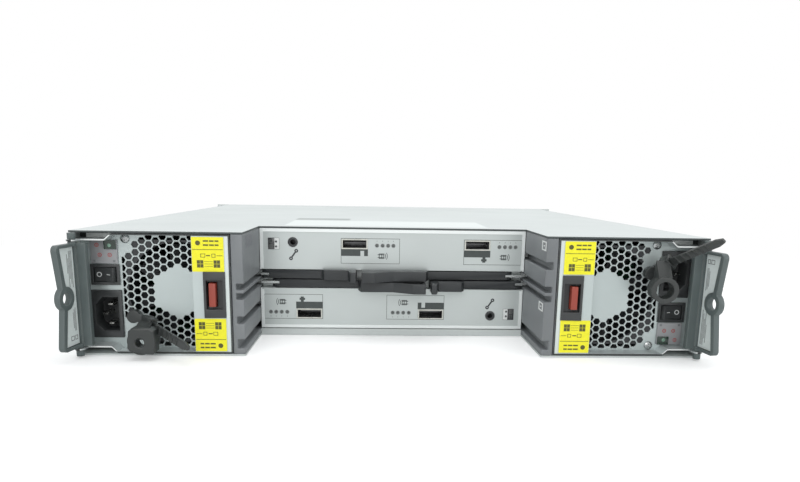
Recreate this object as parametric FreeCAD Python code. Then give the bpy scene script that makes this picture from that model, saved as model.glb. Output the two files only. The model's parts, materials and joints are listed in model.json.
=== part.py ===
import FreeCAD, Part
import math
import os

# Two-unit rack disk shelf enclosure, millimetres.
# Frame: origin at the centre of the chassis underside, +Z up, +X to the right
# when the service side is faced, +Y towards the drive side.

# --- Driving dimensions: chassis ------------------------------------------------
ear_span = 482.6              # over both rack ears
ear_width = 17.8              # ear past the chassis side, so the chassis is 447 wide
body_height = 87.9            # two rack units less the standing clearance
body_depth = 485.0            # service edge to the rack face of the ears
sheet = 1.2                   # chassis sheet metal
inlet_column = 29.7           # supply's outer side to the fan; the recess takes what is left
recess_depth = 63.0           # how far the I/O modules sit inside the service edge
floor_lip_height = 5.5        # folded lip below the lower module
cover_flange = 9.0            # top cover side flange, turned down inside the walls
bay_wall = 8.4                # moulded wall between recess and supply bay
groove_depth = 5.4            # guide grooves in the moulded walls
low_groove = (4.3, 10.8)      # bottom groove, heights above the floor sheet

# --- Driving dimensions: rack ears ----------------------------------------------
ear_thickness = 2.4
ear_leg = 34.0                # leg along the chassis side
ear_slot_width = 7.0
ear_slot_length = 10.5
ear_slot_inset = 8.75         # slot centre in from the ear's outer edge: 465.1 across the rack
ear_slot_rise = 5.85          # slot centre in from the ear's end: 76.2 up the rack
ear_rivet_radius = 2.6
ear_rivet_rise = 1.2
ear_rivet_inset = 12.0

# --- Driving dimensions: midplane and drive side --------------------------------
midplane_from_front = 168.0   # drive side opening to the board's drive face
board_thickness = 3.0
board_edge_gap = 0.5
vent_count = 12
vent_width = 22.0
vent_height = 10.0
vent_height_above_floor = 6.5
drive_slots = 24
rib_thickness = 1.8
rib_height = 5.5
guide_base = 2.2
guide_front_inset = 4.0
drive_plug = (4.6, 8.0, 38.0)     # drive connector: across, deep, tall
drive_plug_mouth = 1.2
module_plug = (50.0, 12.0, 7.0)   # I/O module connector on the midplane
module_plug_offset = 48.0
supply_plug = (38.0, 20.0, 9.0)   # supply connector on the midplane
plug_wall = 2.0                   # plug past each end of its slot, and behind it
mating_gap = 0.4

# --- Driving dimensions: power supply -------------------------------------------
supply_side_gap = 0.6
supply_tail_gap = 27.0         # supply's back to the midplane
supply_skin = 1.0
face_recess = 12.0            # grille plate behind the service edge
face_sheet = 1.0
strip_width = 26.2            # raised latch strip at the inner side
strip_setback = 0.3
notch_width = 21.7            # flat of the lip notch beside the handle
notch_chamfer = 4.2
notch_drop = 3.9
notch_depth = 14.0
hub_blank_radius = 17.9
hex_pitch = 5.6
hex_web = 0.95
grille_edge = 1.0             # solid margin above and below the holes
grille_reach = 45.0           # holes stay inside this circle round the fan centre
pad_size = (12.4, 10.4)       # solid pad for the strap anchor
pad_offset = (-1.6, -8.1)     # pad centre from the strap anchor
fan_margin = 4.15             # fan frame inside the supply's top and bottom
fan_side_gap = 1.7            # fan frame inside the supply's inner side
fan_depth = 25.0
fan_rim = 1.5
fan_tip_gap = 1.6
fan_hub_radius = 17.0
fan_blades = 7
blade_pitch = 38.0
blade_thickness = 1.4
fan_shaft_radius = 2.5
fan_gap = 0.35
fan_blade_chord = 0.9          # share of the hub's length that a blade's chord takes
fan_strut = 3.0
motor_plate = 2.5
supply_board_rise = 7.0
supply_board_thickness = 1.6
supply_board_setback = 8.0
supply_board_leg_radius = 2.5
supply_board_leg_inset = 6.0
supply_board_parts = (        # place from the board's middle, and size, of the large components
    (-26.0, -66.0, (34.0, 36.0, 42.0)),
    (22.0, -60.0, (40.0, 14.0, 46.0)),
    (-20.0, 4.0, (44.0, 40.0, 36.0)),
    (28.0, 10.0, (26.0, 26.0, 30.0)),
    (6.0, 66.0, (70.0, 12.0, 44.0)),
)

# --- Driving dimensions: things on the supply face -------------------------------
inlet_centre = (16.0, 27.6)   # from the supply's outer side and the chassis floor
inlet_size = (21.6, 34.6)
inlet_mouth = (16.0, 24.2)
inlet_mouth_chamfer = 5.0
inlet_flange = 1.6
inlet_depth = 18.0
inlet_cavity = 13.5
inlet_pin = (4.0, 2.0)
inlet_pin_spacing = 14.0
inlet_earth_offset = 4.0
inlet_pin_length = 10.5
switch_centre = (16.2, 56.0)
switch_size = (20.0, 14.8)
switch_depth = 15.0
switch_flange = 1.4
rocker_size = (15.6, 10.0)
rocker_gap = 0.35
rocker_radius = 7.75
rocker_half_angle = 12.0
rocker_pin_radius = 1.0
rocker_pivot_depth = 1.6
rocker_foot = 2.6
lamp_panel_from_outer = 16.4
lamp_panel_width = 18.6
lamp_panel_gap = 0.6          # above the switch and below the lip
lamp_panel_thickness = 1.2
lamp_window = (9.0, 6.6)
lamp_window_rise = 0.7
face_screw_from_outer = 31.2
face_screw_height = 6.3
screw_head_radius = 3.2
screw_head_height = 1.6
screw_shank_radius = 1.4
latch_window = (15.0, 32.8)
latch_from_inner = 11.2       # latch centre from the supply's inner side
latch_flange = 1.0
latch_wall = 0.8
latch_pocket_depth = 7.5
latch_dish = 2.4              # finger dish beside the tab
latch_rise = 1.6
latch_tab = (4.6, 16.6)
latch_travel = 1.5
latch_gap = 0.35

# --- Driving dimensions: supply handle -------------------------------------------
hinge_from_outer = 2.6        # hinge axis inside the supply's outer side
hinge_behind_face = 5.6       # hinge axis outside the service edge
hinge_ear_radius = 3.4
hinge_pin_radius = 1.5
hinge_knuckle_radius = 2.6
hinge_gap = 0.35
handle_end_gap = 1.5          # handle's ends inside the lips' ears
handle_thickness = 4.0
handle_reach = 26.5           # service edge to the rear of the handle
handle_root_gap = 1.1
handle_rim = 2.0              # walls round the handle's tray
handle_root_rim = 0.8
handle_bar = 3.8
handle_web = 1.3
handle_dip = 4.2              # how far the rear bar dips towards the ring
handle_ring_radius = 8.0
handle_ring_hole = 4.4
handle_corner = 3.6
handle_flange = 6.4           # root flange that folds over the face
handle_flange_thickness = 3.4
handle_splay_angle = 7.0      # rest angle outwards, degrees
label_plate_thickness = 0.8
label_plate_margin = 0.4

# --- Driving dimensions: cord retaining strap ------------------------------------
anchor_from_outer = 35.6
anchor_height = 26.5
anchor_radius = 4.6
anchor_hole_radius = 1.9
anchor_barb_radius = 2.6
anchor_barb = 1.4
anchor_foot = 3.0
strap_width = 5.6
strap_thickness = 1.8
strap_root_thickness = 2.4
strap_length = 62.0
strap_tooth = 0.7
strap_tooth_pitch = 5.0
strap_angles_left = (-16.0, 38.0)    # direction in the face, slope out of the face (degrees)
strap_angles_right = (49.0, 55.0)
strap_bend_at = 5.5           # where the strap leaves the face, from its eye's centre
strap_tip_taper = 5.0
saddle_at = 10.0              # clamp saddle along the sloping strap
saddle_size = (8.0, 9.6, 6.6)
saddle_gap = 0.35
clamp_ring_radius = 9.2
clamp_ring_wall = 3.2
clamp_ring_width = 11.6
clamp_neck = 9.6
clamp_ring_left = (-1.0, -9.4, -9.5)     # ring centre from the saddle's centre
clamp_ring_right = (-5.0, -7.0, -17.5)
clamp_yaw_left = -5.0         # angles of the rings about the upright (degrees)
clamp_yaw_right = -8.0

# --- Driving dimensions: I/O module ----------------------------------------------
module_side_gap = 0.5
module_tail_gap = 17.0         # module's back to the midplane
runner = (1.4, 5.1)           # side runners, heights above the module's lever edge
key_runner = (18.0, 22.6)     # keying runner, on the module's right side only
runner_gap = 0.3
module_floor_gap = 5.1        # lower module above the floor sheet
module_gap = 0.3              # between the two modules
module_cover_gap = 0.3
module_skin = 1.0
module_sheet = 1.2
hem_rise = 0.6                # folded rim of the canister outside the face plate
hem_width = 2.6
hem_gap = 0.1
lever_channel_height = 7.4    # channel for the levers along the inner edge
lever_channel_depth = 10.5
port_from_left = 74.8          # centres of the two ports from the module's sides
port_from_right = 38.4
port_drop = 11.7              # port centre below the module's outer edge
port_opening = (18.8, 6.2)
port_wall = 0.9
port_depth = 38.0
port_mouth_depth = 24.0
port_rise = 0.8
lamp_offsets = (17.8, 22.3, 26.7, 30.9)
lamp_drop = 12.8              # lamps, jack and display below the same edge
lamp_radius = 1.2
jack_from_left = 25.9
jack_drop = 10.8
jack_radius = 3.4
jack_bore = 2.1
jack_depth = 11.0
jack_rise = 0.7
display_from_left = 8.8
display_drop = 12.1
display_size = (4.8, 9.2)
display_rise = 0.5
display_thickness = 1.5
module_board_gap = 0.6        # board under the ports
module_board_setback = 0.5
module_board_thickness = 1.6
module_board_parts = (        # place from the board's middle, and size, of the large components
    (-40.0, 10.0, (38.0, 38.0, 6.0)),
    (30.0, -10.0, (30.0, 30.0, 8.0)),
    (70.0, 30.0, (20.0, 44.0, 5.0)),
)

# --- Driving dimensions: module levers -------------------------------------------
lever_height = 6.4
lever_clearance = 0.3
lever_front = 1.5             # bar in front of the module face
lever_bar = 8.6
long_pivot_from_edge = 13.4
short_pivot_from_edge = 5.2
pivot_behind_face = 4.4
pivot_radius = 1.5
pivot_gap = 0.3
lever_root_radius = 4.6
bracket_setback = 2.2         # bracket's front edge behind the module face
bracket_thickness = 2.0
bracket_height = 2.2          # bracket above the module's lever edge
bracket_reach = 5.0           # bracket past the pivot, inside the lever's fork
fork_length = 9.0
long_grip_start = 28.0        # places along the long lever, across the module
long_grip_bend = 0.0
long_grip_ramp = -15.0
long_grip_end = -25.0
grip_lead = 2.5
grip_out_near = 13.0          # how far the grip stands out of the module face
grip_out_far = 21.5
grip_wall = 2.2
grip_height = 7.8
grip_clear = 3.0              # the tall part of a grip starts this far outside the face
short_step = -57.0            # places along the short lever
short_hook = -36.0
short_end = -29.5
short_out_near = 9.0
hook_out = 21.5
hook_thickness = 4.0

# --- Derived places ---------------------------------------------------------------
body_width = ear_span - 2 * ear_width
half_width = body_width / 2
rear = -body_depth / 2
front = body_depth / 2
floor_top = sheet
cover_bottom = body_height - sheet
supply_bottom = floor_top + supply_side_gap
supply_top = cover_bottom - supply_side_gap
supply_mid = body_height / 2
fan_size = supply_top - supply_bottom - 2 * (supply_skin + fan_margin)
fan_bore = fan_size / 2 - fan_rim
hub_from_inner = supply_skin + fan_side_gap + fan_size / 2
hub_from_outer = fan_size / 2 + inlet_column
supply_outer = half_width - sheet - supply_side_gap
supply_inner = supply_outer - hub_from_inner - hub_from_outer
recess_half = supply_inner - supply_side_gap - bay_wall
hex_column = hex_pitch * math.cos(math.radians(30))
hex_columns_in = int((hub_from_inner - strip_width - hex_pitch / 2) / hex_column)
hex_columns_out = int((hub_from_outer - inlet_centre[0] - inlet_size[0] / 2) / hex_column)
lip_top = supply_top - notch_drop
face_y = rear + face_recess
midplane_y = front - midplane_from_front
supply_back = midplane_y - supply_tail_gap
handle_height = 2 * (lip_top - supply_skin - handle_end_gap - supply_mid)
module_half = recess_half - module_side_gap
module_low = floor_top + module_floor_gap
module_high = cover_bottom - module_cover_gap
module_height = (module_high - module_low - module_gap) / 2
module_mid = (module_high + module_low) / 2
module_face_y = rear + recess_depth
module_back = midplane_y - module_tail_gap
port_centres = (-module_half + port_from_left, module_half - port_from_right)
overrun = 2.0                 # how far cutting tools pass the faces they cut


# --- Shape helpers ------------------------------------------------------------------
def vec(x, y, z):
    return FreeCAD.Vector(x, y, z)


def block(x_range, y_range, z_range):
    x0, x1 = sorted(x_range)
    y0, y1 = sorted(y_range)
    z0, z1 = sorted(z_range)
    return Part.makeBox(x1 - x0, y1 - y0, z1 - z0, vec(x0, y0, z0))


def centred(centre, size):
    return (centre - size / 2, centre + size / 2)


def rod(centre, direction, radius, length):
    return Part.makeCylinder(radius, length, centre, direction)


def rod_y(x, z, radius, y_range):
    y0, y1 = sorted(y_range)
    return rod(vec(x, y0, z), vec(0, 1, 0), radius, y1 - y0)


def rod_z(x, y, radius, z_range):
    z0, z1 = sorted(z_range)
    return rod(vec(x, y, z0), vec(0, 0, 1), radius, z1 - z0)


def rod_x(y, z, radius, x_range):
    x0, x1 = sorted(x_range)
    return rod(vec(x0, y, z), vec(1, 0, 0), radius, x1 - x0)


def extrude(points, offset):
    wire = Part.makePolygon(points + [points[0]])
    return Part.Face(wire).extrude(offset)


def along_y(outline, y_range):
    """Extrude an outline of (x, z) points along Y."""
    y0, y1 = sorted(y_range)
    return extrude([vec(x, y0, z) for x, z in outline], vec(0, y1 - y0, 0))


def along_z(outline, z_range):
    """Extrude an outline of (x, y) points along Z."""
    z0, z1 = sorted(z_range)
    return extrude([vec(x, y, z0) for x, y in outline], vec(0, 0, z1 - z0))


def along_x(outline, x_range):
    """Extrude an outline of (y, z) points along X."""
    x0, x1 = sorted(x_range)
    return extrude([vec(x0, y, z) for y, z in outline], vec(x1 - x0, 0, 0))


def joined(shapes):
    first, rest = shapes[0], shapes[1:]
    whole = first.multiFuse(rest) if rest else first
    return whole.removeSplitter()


def half_turn(shape, mid_height):
    """The shape turned half a turn about the Y axis at the given height."""
    turned = shape.copy()
    turned.rotate(vec(0, 0, mid_height), vec(0, 1, 0), 180)
    return turned


def save(name, shape):
    shape.exportStep(os.path.join("parts", name + ".step"))
    print(name, round(shape.Volume), len(shape.Solids))


# --- Chassis --------------------------------------------------------------------------
def u_plan(inset, recess_inset):
    """Plan outline of the chassis with the module recess cut into its service edge."""
    side = half_width - inset
    inner = recess_half + recess_inset
    back = module_face_y + recess_inset
    return [
        (-side, rear), (-inner, rear), (-inner, back), (inner, back),
        (inner, rear), (side, rear), (side, front), (-side, front),
    ]


def chassis_pan():
    floor = along_z(u_plan(0, 0), (0, floor_top))
    walls = [
        block((side * half_width, side * (half_width - sheet)), (rear, front), (0, cover_bottom))
        for side in (-1, 1)
    ]
    lip = block((-recess_half, recess_half), (module_face_y, module_face_y + sheet), (0, floor_lip_height))
    return joined([floor, lip] + walls)


def top_cover():
    sheet_plate = along_z(u_plan(0, 0), (cover_bottom, body_height))
    inner = half_width - sheet
    flanges = [
        block((side * inner, side * (inner - sheet)),
              (supply_back + notch_depth + overrun, front),
              (cover_bottom - cover_flange, cover_bottom))
        for side in (-1, 1)
    ]
    return joined([sheet_plate] + flanges)


def runner_heights(heights, turned):
    """Heights of a module runner, for the upper module or for the lower, turned one."""
    low, high = (lever_edge() + height for height in heights)
    return (2 * module_mid - high, 2 * module_mid - low) if turned else (low, high)


def runner_groove(heights, turned):
    """Groove for a module runner, as heights above the floor sheet."""
    low, high = runner_heights(heights, turned)
    return (low - runner_gap - floor_top, high + runner_gap - floor_top)


def bay_wall_section(grooves):
    """Section of the left moulded wall: flat towards the supply, grooved towards the recess."""
    outer = -(recess_half + bay_wall)
    inner = -recess_half
    deep = inner - groove_depth
    points = [(outer, floor_top), (inner, floor_top)]
    for low, high in grooves:
        points += [
            (inner, floor_top + low), (deep, floor_top + low),
            (deep, floor_top + high), (inner, floor_top + high),
        ]
    return points + [(inner, cover_bottom), (outer, cover_bottom)]


def bay_walls():
    y_range = (rear, module_back)
    common = [low_groove, runner_groove(runner, True), runner_groove(runner, False)]
    left = along_y(bay_wall_section(sorted(common + [runner_groove(key_runner, True)])), y_range)
    right_section = bay_wall_section(sorted(common + [runner_groove(key_runner, False)]))
    right = along_y([(-x, z) for x, z in right_section], y_range)
    return left, right


def rack_ear(side):
    z_range = (0, body_height)
    flange = block((side * half_width, side * ear_span / 2), (front - ear_thickness, front), z_range)
    leg = block((side * half_width, side * (half_width + ear_thickness)),
                (front - ear_leg, front), z_range)
    ear = joined([flange, leg])
    for z in (ear_slot_rise, body_height - ear_slot_rise):
        x = side * (ear_span / 2 - ear_slot_inset)
        run = (ear_slot_length - ear_slot_width) / 2
        y_range = (front - ear_thickness - overrun, front + overrun)
        slot = joined([
            block(centred(x, 2 * run), y_range, centred(z, ear_slot_width)),
            rod_y(x - run, z, ear_slot_width / 2, y_range),
            rod_y(x + run, z, ear_slot_width / 2, y_range),
        ])
        ear = ear.cut(slot)
    return joined([ear] + ear_rivets(side))


def ear_rivets(side):
    outside = side * (half_width + ear_thickness)
    x_range = (outside, outside + side * ear_rivet_rise)
    y = front - ear_leg + ear_rivet_inset
    heights = (ear_rivet_inset, body_height - ear_rivet_inset)
    return [rod_x(y, z, ear_rivet_radius, x_range) for z in heights]


# --- Drive side -------------------------------------------------------------------------
def drive_positions():
    clear = body_width - 2 * sheet
    pitch = clear / drive_slots
    return [-clear / 2 + pitch * (i + 0.5) for i in range(drive_slots)]


def drive_guide(upper):
    """Moulded comb that guides the drives: a base with a rib between every two slots."""
    edge = half_width - sheet
    pitch = 2 * edge / drive_slots
    points = [(-edge, 0)]
    points.append((-edge, guide_base))
    for i in range(1, drive_slots):
        x = -edge + pitch * i
        half = rib_thickness / 2
        points += [
            (x - half, guide_base), (x - half, guide_base + rib_height),
            (x + half, guide_base + rib_height), (x + half, guide_base),
        ]
    points += [(edge, guide_base), (edge, 0)]
    if upper:
        flange_inner = half_width - 2 * sheet
        points = [(max(-flange_inner, min(flange_inner, x)), cover_bottom - z) for x, z in points]
    else:
        points = [(x, floor_top + z) for x, z in points]
    return along_y(points, (midplane_y + board_thickness, front - guide_front_inset))


def midplane_board():
    edge = half_width - 2 * sheet - board_edge_gap
    board = block((-edge, edge), (midplane_y, midplane_y + board_thickness), (floor_top, cover_bottom))
    pitch = 2 * edge / vent_count
    y_range = (midplane_y - overrun, midplane_y + board_thickness + overrun)
    vents = []
    for i in range(vent_count):
        x = -edge + pitch * (i + 0.5)
        low = floor_top + vent_height_above_floor
        high = cover_bottom - vent_height_above_floor
        vents.append(block(centred(x, vent_width), y_range, (low, low + vent_height)))
        vents.append(block(centred(x, vent_width), y_range, (high - vent_height, high)))
    return board.cut(Part.makeCompound(vents))


def drive_connectors():
    across, deep, tall = drive_plug
    y0 = midplane_y + board_thickness
    plugs = []
    for x in drive_positions():
        plug = block(centred(x, across), (y0, y0 + deep), centred(supply_mid, tall))
        mouth = block(centred(x, drive_plug_mouth), (y0 + deep / 2, y0 + deep + overrun),
                      centred(supply_mid, tall - across))
        plugs.append(plug.cut(mouth))
    return plugs


def edge_plug(x, size, board_level, thickness):
    """Plug on the midplane's service face, with a slot that takes a board's tongue."""
    across, deep, tall = size
    z = board_level - thickness / 2
    plug = block(centred(x, across), (midplane_y - deep, midplane_y), centred(z, tall))
    slot = block(centred(x, across - 2 * plug_wall), (midplane_y - deep - overrun, midplane_y - plug_wall),
                 centred(z, thickness + 2 * mating_gap))
    return plug.cut(slot)


def tongue_width(size):
    return size[0] - 2 * plug_wall - 2 * mating_gap


def tongue_end():
    return midplane_y - plug_wall - mating_gap


def module_connectors():
    """Plugs for both modules and both supplies."""
    plugs = []
    for side in (-1, 1):
        plugs.append(edge_plug(side * module_plug_offset, module_plug, module_board_level(),
                               module_board_thickness))
    turned = [half_turn(plug, module_mid) for plug in plugs]
    supply = edge_plug(supply_board_middle(), supply_plug, supply_board_level(), supply_board_thickness)
    return plugs + turned + [supply, half_turn(supply, supply_mid)]


# --- Power supply: casing and face --------------------------------------------------------
# Every supply piece is made for the left bay, where the outer side is at -X.
def from_outer(distance):
    return -supply_outer + distance


def from_inner(distance):
    return -supply_inner - distance


def supply_outline(inset, notched):
    """Section of the casing; beside the handle its lips drop below the chassis sheet."""
    left = from_outer(inset)
    right = from_inner(inset)
    low = supply_bottom + inset
    high = supply_top - inset
    if not notched:
        return [(left, low), (right, low), (right, high), (left, high)]
    flat = from_outer(notch_width)
    slope = from_outer(notch_width + notch_chamfer)
    return [
        (left, low + notch_drop), (flat, low + notch_drop), (slope, low), (right, low),
        (right, high), (slope, high), (flat, high - notch_drop), (left, high - notch_drop),
    ]


def hinge_axis():
    return from_outer(hinge_from_outer), rear - hinge_behind_face


def hinge_ears():
    """Rounded tabs of the lips that carry the handle."""
    x, y = hinge_axis()
    ears = []
    for z0, z1 in ((lip_top - supply_skin, lip_top),
                   (body_height - lip_top, body_height - lip_top + supply_skin)):
        tab = block((from_outer(0), x + hinge_ear_radius), (y, rear + supply_skin), (z0, z1))
        tab = tab.fuse(rod_z(x, y, hinge_ear_radius, (z0, z1)))
        hole = rod_z(x, y, hinge_pin_radius + hinge_gap, (z0 - overrun, z1 + overrun))
        ears.append(tab.cut(hole))
    return ears


def supply_case():
    back = supply_back
    shoulder = rear + notch_depth
    outside = along_y(supply_outline(0, True), (rear, shoulder + supply_skin)).fuse(
        along_y(supply_outline(0, False), (shoulder, back)))
    inside = along_y(supply_outline(supply_skin, True), (rear - overrun, shoulder + 2 * supply_skin)).fuse(
        along_y(supply_outline(supply_skin, False), (shoulder + supply_skin, back - supply_skin)))
    exit_hole = block(centred(supply_board_middle(), tongue_width(supply_plug) + 2 * overrun),
                      (back - supply_skin - overrun, back + overrun),
                      (supply_board_level() - supply_board_thickness - overrun,
                       supply_board_level() + overrun))
    return joined([outside.cut(inside).cut(exit_hole)] + hinge_ears())


def hub_centre():
    return from_inner(hub_from_inner), supply_mid


def anchor_point():
    return from_outer(anchor_from_outer), anchor_height


def grille_holes(y_range):
    """Honeycomb holes round a blank disc in front of the fan hub, clipped to the grille's edges."""
    hub_x, hub_z = hub_centre()
    corner = (hex_pitch - hex_web) / math.sqrt(3)
    low = supply_bottom + supply_skin + grille_edge
    high = supply_top - supply_skin - grille_edge
    rows = math.ceil((high - low) / hex_pitch / 2) + 1
    left = hub_x - hex_columns_out * hex_column
    anchor_x, anchor_z = anchor_point()
    pad_x = anchor_x + pad_offset[0]
    pad_z = anchor_z + pad_offset[1]
    reach = (hex_pitch - hex_web) / 2
    holes = []
    for i in range(-hex_columns_out, hex_columns_in + 1):
        x = hub_x + i * hex_column
        for j in range(-rows, rows + 1):
            z = hub_z + (j + (i % 2) / 2) * hex_pitch
            distance = math.hypot(x - hub_x, z - hub_z)
            on_pad = (abs(x - pad_x) < pad_size[0] / 2 and abs(z - pad_z) < pad_size[1] / 2)
            if distance < hub_blank_radius or distance > grille_reach or on_pad:
                continue
            top = min(z + reach, high)
            bottom = max(z - reach, low)
            if top - bottom < reach / 2:
                continue
            x_range = (max(x - corner, left), x + corner)
            holes.append(hex_hole(x, z, corner, x_range, (bottom, top), y_range))
    return Part.makeCompound(holes)


def hex_hole(x, z, corner, x_range, z_range, y_range):
    points = [(x + corner * math.cos(math.radians(60 * k)), z + corner * math.sin(math.radians(60 * k)))
              for k in range(6)]
    hole = along_y(points, y_range)
    window = block(x_range, y_range, z_range)
    clipped = x_range[0] > x - corner or z_range[1] - z_range[0] < corner * math.sqrt(3) - 0.01
    return hole.common(window) if clipped else hole


def supply_face():
    """Bent sheet: the recessed grille plate and the raised strip that carries the latch."""
    outline = supply_outline(supply_skin, True)
    plate = along_y(outline, (face_y, face_y + face_sheet))
    low = supply_bottom + supply_skin
    high = supply_top - supply_skin
    strip_left = from_inner(strip_width)
    strip_right = from_inner(supply_skin)
    front_y = rear + strip_setback
    strip = block((strip_left, strip_right), (front_y, front_y + face_sheet), (low, high))
    riser = block((strip_left, strip_left + face_sheet), (front_y, face_y), (low, high))
    face = joined([plate, strip, riser])
    y_cut = (face_y - overrun, face_y + face_sheet + overrun)
    behind_strip = block((strip_left + face_sheet, strip_right), y_cut,
                         (low + face_sheet, high - face_sheet))
    inlet = block(centred(from_outer(inlet_centre[0]), inlet_size[0] - 2 * inlet_flange), y_cut,
                  centred(inlet_centre[1], inlet_size[1] - 2 * inlet_flange))
    switch = block(centred(from_outer(switch_centre[0]), switch_size[0] - 2 * switch_flange), y_cut,
                   centred(switch_centre[1], switch_size[1] - 2 * switch_flange))
    latch_x, latch_z = latch_centre()
    latch = block(centred(latch_x, latch_window[0] - 2 * latch_flange),
                  (front_y - overrun, front_y + face_sheet + overrun),
                  centred(latch_z, latch_window[1] - 2 * latch_flange))
    screws = [rod_y(x, z, screw_shank_radius, y_cut) for x, z in face_screw_places()]
    screws.append(rod_y(*anchor_point(), anchor_hole_radius, y_cut))
    face = face.cut(Part.makeCompound([behind_strip, inlet, switch, latch] + screws))
    return face.cut(grille_holes(y_cut))


def face_screw_places():
    x = from_outer(face_screw_from_outer)
    return [(x, face_screw_height), (x, body_height - face_screw_height)]


def face_screws():
    screws = []
    for x, z in face_screw_places():
        head = rod_y(x, z, screw_head_radius, (face_y - screw_head_height, face_y))
        shank = rod_y(x, z, screw_shank_radius, (face_y, face_y + face_sheet))
        screws.append(head.fuse(shank))
    return Part.makeCompound(screws)


# --- Power supply: inside ------------------------------------------------------------------
def supply_board_level():
    return supply_bottom + supply_skin + supply_board_rise


def supply_board_middle():
    return -(supply_inner + supply_outer) / 2


def supply_board():
    """Circuit board on stand-offs with its edge plug through the back of the casing."""
    level = supply_board_level()
    y0 = face_y + face_sheet + fan_depth + supply_board_setback
    y1 = supply_back - supply_skin - board_edge_gap
    board = block((from_outer(supply_skin + board_edge_gap), from_inner(supply_skin + board_edge_gap)),
                  (y0, y1), (level - supply_board_thickness, level))
    tongue = block(centred(supply_board_middle(), tongue_width(supply_plug)),
                   (y1 - overrun, tongue_end()), (level - supply_board_thickness, level))
    leg_range = (supply_bottom + supply_skin, level - supply_board_thickness)
    legs = [rod_z(x, y, supply_board_leg_radius, leg_range)
            for x in (from_outer(supply_board_leg_inset), from_inner(supply_board_leg_inset))
            for y in (y0 + supply_board_leg_inset, y1 - supply_board_leg_inset)]
    blocks = [block(centred(supply_board_middle() + dx, size[0]), centred((y0 + y1) / 2 + dy, size[1]),
                    (level, level + size[2]))
              for dx, dy, size in supply_board_parts]
    return joined([board, tongue] + legs + blocks)


def fan_frame():
    x, z = hub_centre()
    y0 = face_y + face_sheet
    y1 = y0 + fan_depth
    frame = block(centred(x, fan_size), (y0, y1), centred(z, fan_size))
    frame = frame.cut(rod_y(x, z, fan_bore, (y0 - overrun, y1 + overrun)))
    motor = rod_y(x, z, fan_hub_radius, (y1 - motor_plate, y1))
    length = fan_bore + fan_strut
    struts = []
    for k in range(4):
        strut = block((x, x + length), (y1 - motor_plate, y1), centred(z, fan_strut))
        strut.rotate(vec(x, 0, z), vec(0, 1, 0), 45 + 90 * k)
        struts.append(strut)
    shaft_hole = rod_y(x, z, fan_shaft_radius + fan_gap, (y1 - motor_plate - overrun, y1 + overrun))
    root_relief = rod_y(*anchor_point(), anchor_barb_radius + hinge_gap,
                        (y0 - overrun, y0 + anchor_barb + 2 * hinge_gap))
    return joined([frame, motor] + struts).cut(Part.makeCompound([shaft_hole, root_relief]))


def fan_rotor():
    x, z = hub_centre()
    y0 = face_y + face_sheet + overrun
    y1 = face_y + face_sheet + fan_depth - motor_plate - fan_gap
    hub = rod_y(x, z, fan_hub_radius, (y0, y1)).fuse(
        rod_y(x, z, fan_shaft_radius, (y1, y1 + motor_plate)))
    middle = (y0 + y1) / 2
    chord = (y1 - y0) * fan_blade_chord
    half_chord = chord / 2 * math.cos(math.radians(blade_pitch))
    tip = math.sqrt((fan_bore - fan_tip_gap) ** 2 - half_chord ** 2)
    blades = []
    for k in range(fan_blades):
        blade = block(centred(x, chord), centred(middle, blade_thickness),
                      (z + fan_hub_radius - overrun, z + tip))
        blade.rotate(vec(x, middle, z), vec(0, 0, 1), blade_pitch)
        blade.rotate(vec(x, middle, z), vec(0, 1, 0), 360 * k / fan_blades)
        blades.append(blade)
    return joined([hub] + blades)


# --- Power supply: electrical fittings --------------------------------------------------------
def power_inlet():
    """Appliance inlet on its side: its mouth's two cut corners are on the earth side."""
    x = from_outer(inlet_centre[0])
    z = inlet_centre[1]
    flange = block(centred(x, inlet_size[0]), (face_y - inlet_flange, face_y), centred(z, inlet_size[1]))
    body = block(centred(x, inlet_size[0] - 2 * inlet_flange), (face_y, face_y + inlet_depth),
                 centred(z, inlet_size[1] - 2 * inlet_flange))
    half_x = inlet_mouth[0] / 2
    half_z = inlet_mouth[1] / 2
    cut = inlet_mouth_chamfer
    mouth = [
        (x + half_x, z - half_z), (x + half_x, z + half_z), (x - half_x + cut, z + half_z),
        (x - half_x, z + half_z - cut), (x - half_x, z - half_z + cut), (x - half_x + cut, z - half_z),
    ]
    floor_y = face_y - inlet_flange + inlet_cavity
    housing = joined([flange, body]).cut(along_y(mouth, (face_y - inlet_flange - overrun, floor_y)))
    pins = []
    live = inlet_earth_offset / 2
    for dx, dz in ((live, inlet_pin_spacing / 2), (live, -inlet_pin_spacing / 2), (-live, 0)):
        pins.append(block(centred(x + dx, inlet_pin[0]), (floor_y - inlet_pin_length, floor_y + overrun),
                          centred(z + dz, inlet_pin[1])))
    return joined([housing] + pins)


def switch_frame():
    x = from_outer(switch_centre[0])
    z = switch_centre[1]
    flange = block(centred(x, switch_size[0]), (face_y - switch_flange, face_y), centred(z, switch_size[1]))
    body = block(centred(x, switch_size[0] - 2 * switch_flange), (face_y, face_y + switch_depth),
                 centred(z, switch_size[1] - 2 * switch_flange))
    well = block(centred(x, rocker_size[0] + 2 * rocker_gap),
                 (face_y - switch_flange - overrun, face_y + switch_depth - switch_flange),
                 centred(z, rocker_size[1] + 2 * rocker_gap))
    frame = joined([flange, body]).cut(well)
    pin = rod_z(x, rocker_pivot_y(), rocker_pin_radius, centred(z, switch_size[1] - 2 * switch_flange))
    return joined([frame, pin])


def rocker_pivot_y():
    return face_y + rocker_pivot_depth


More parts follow.
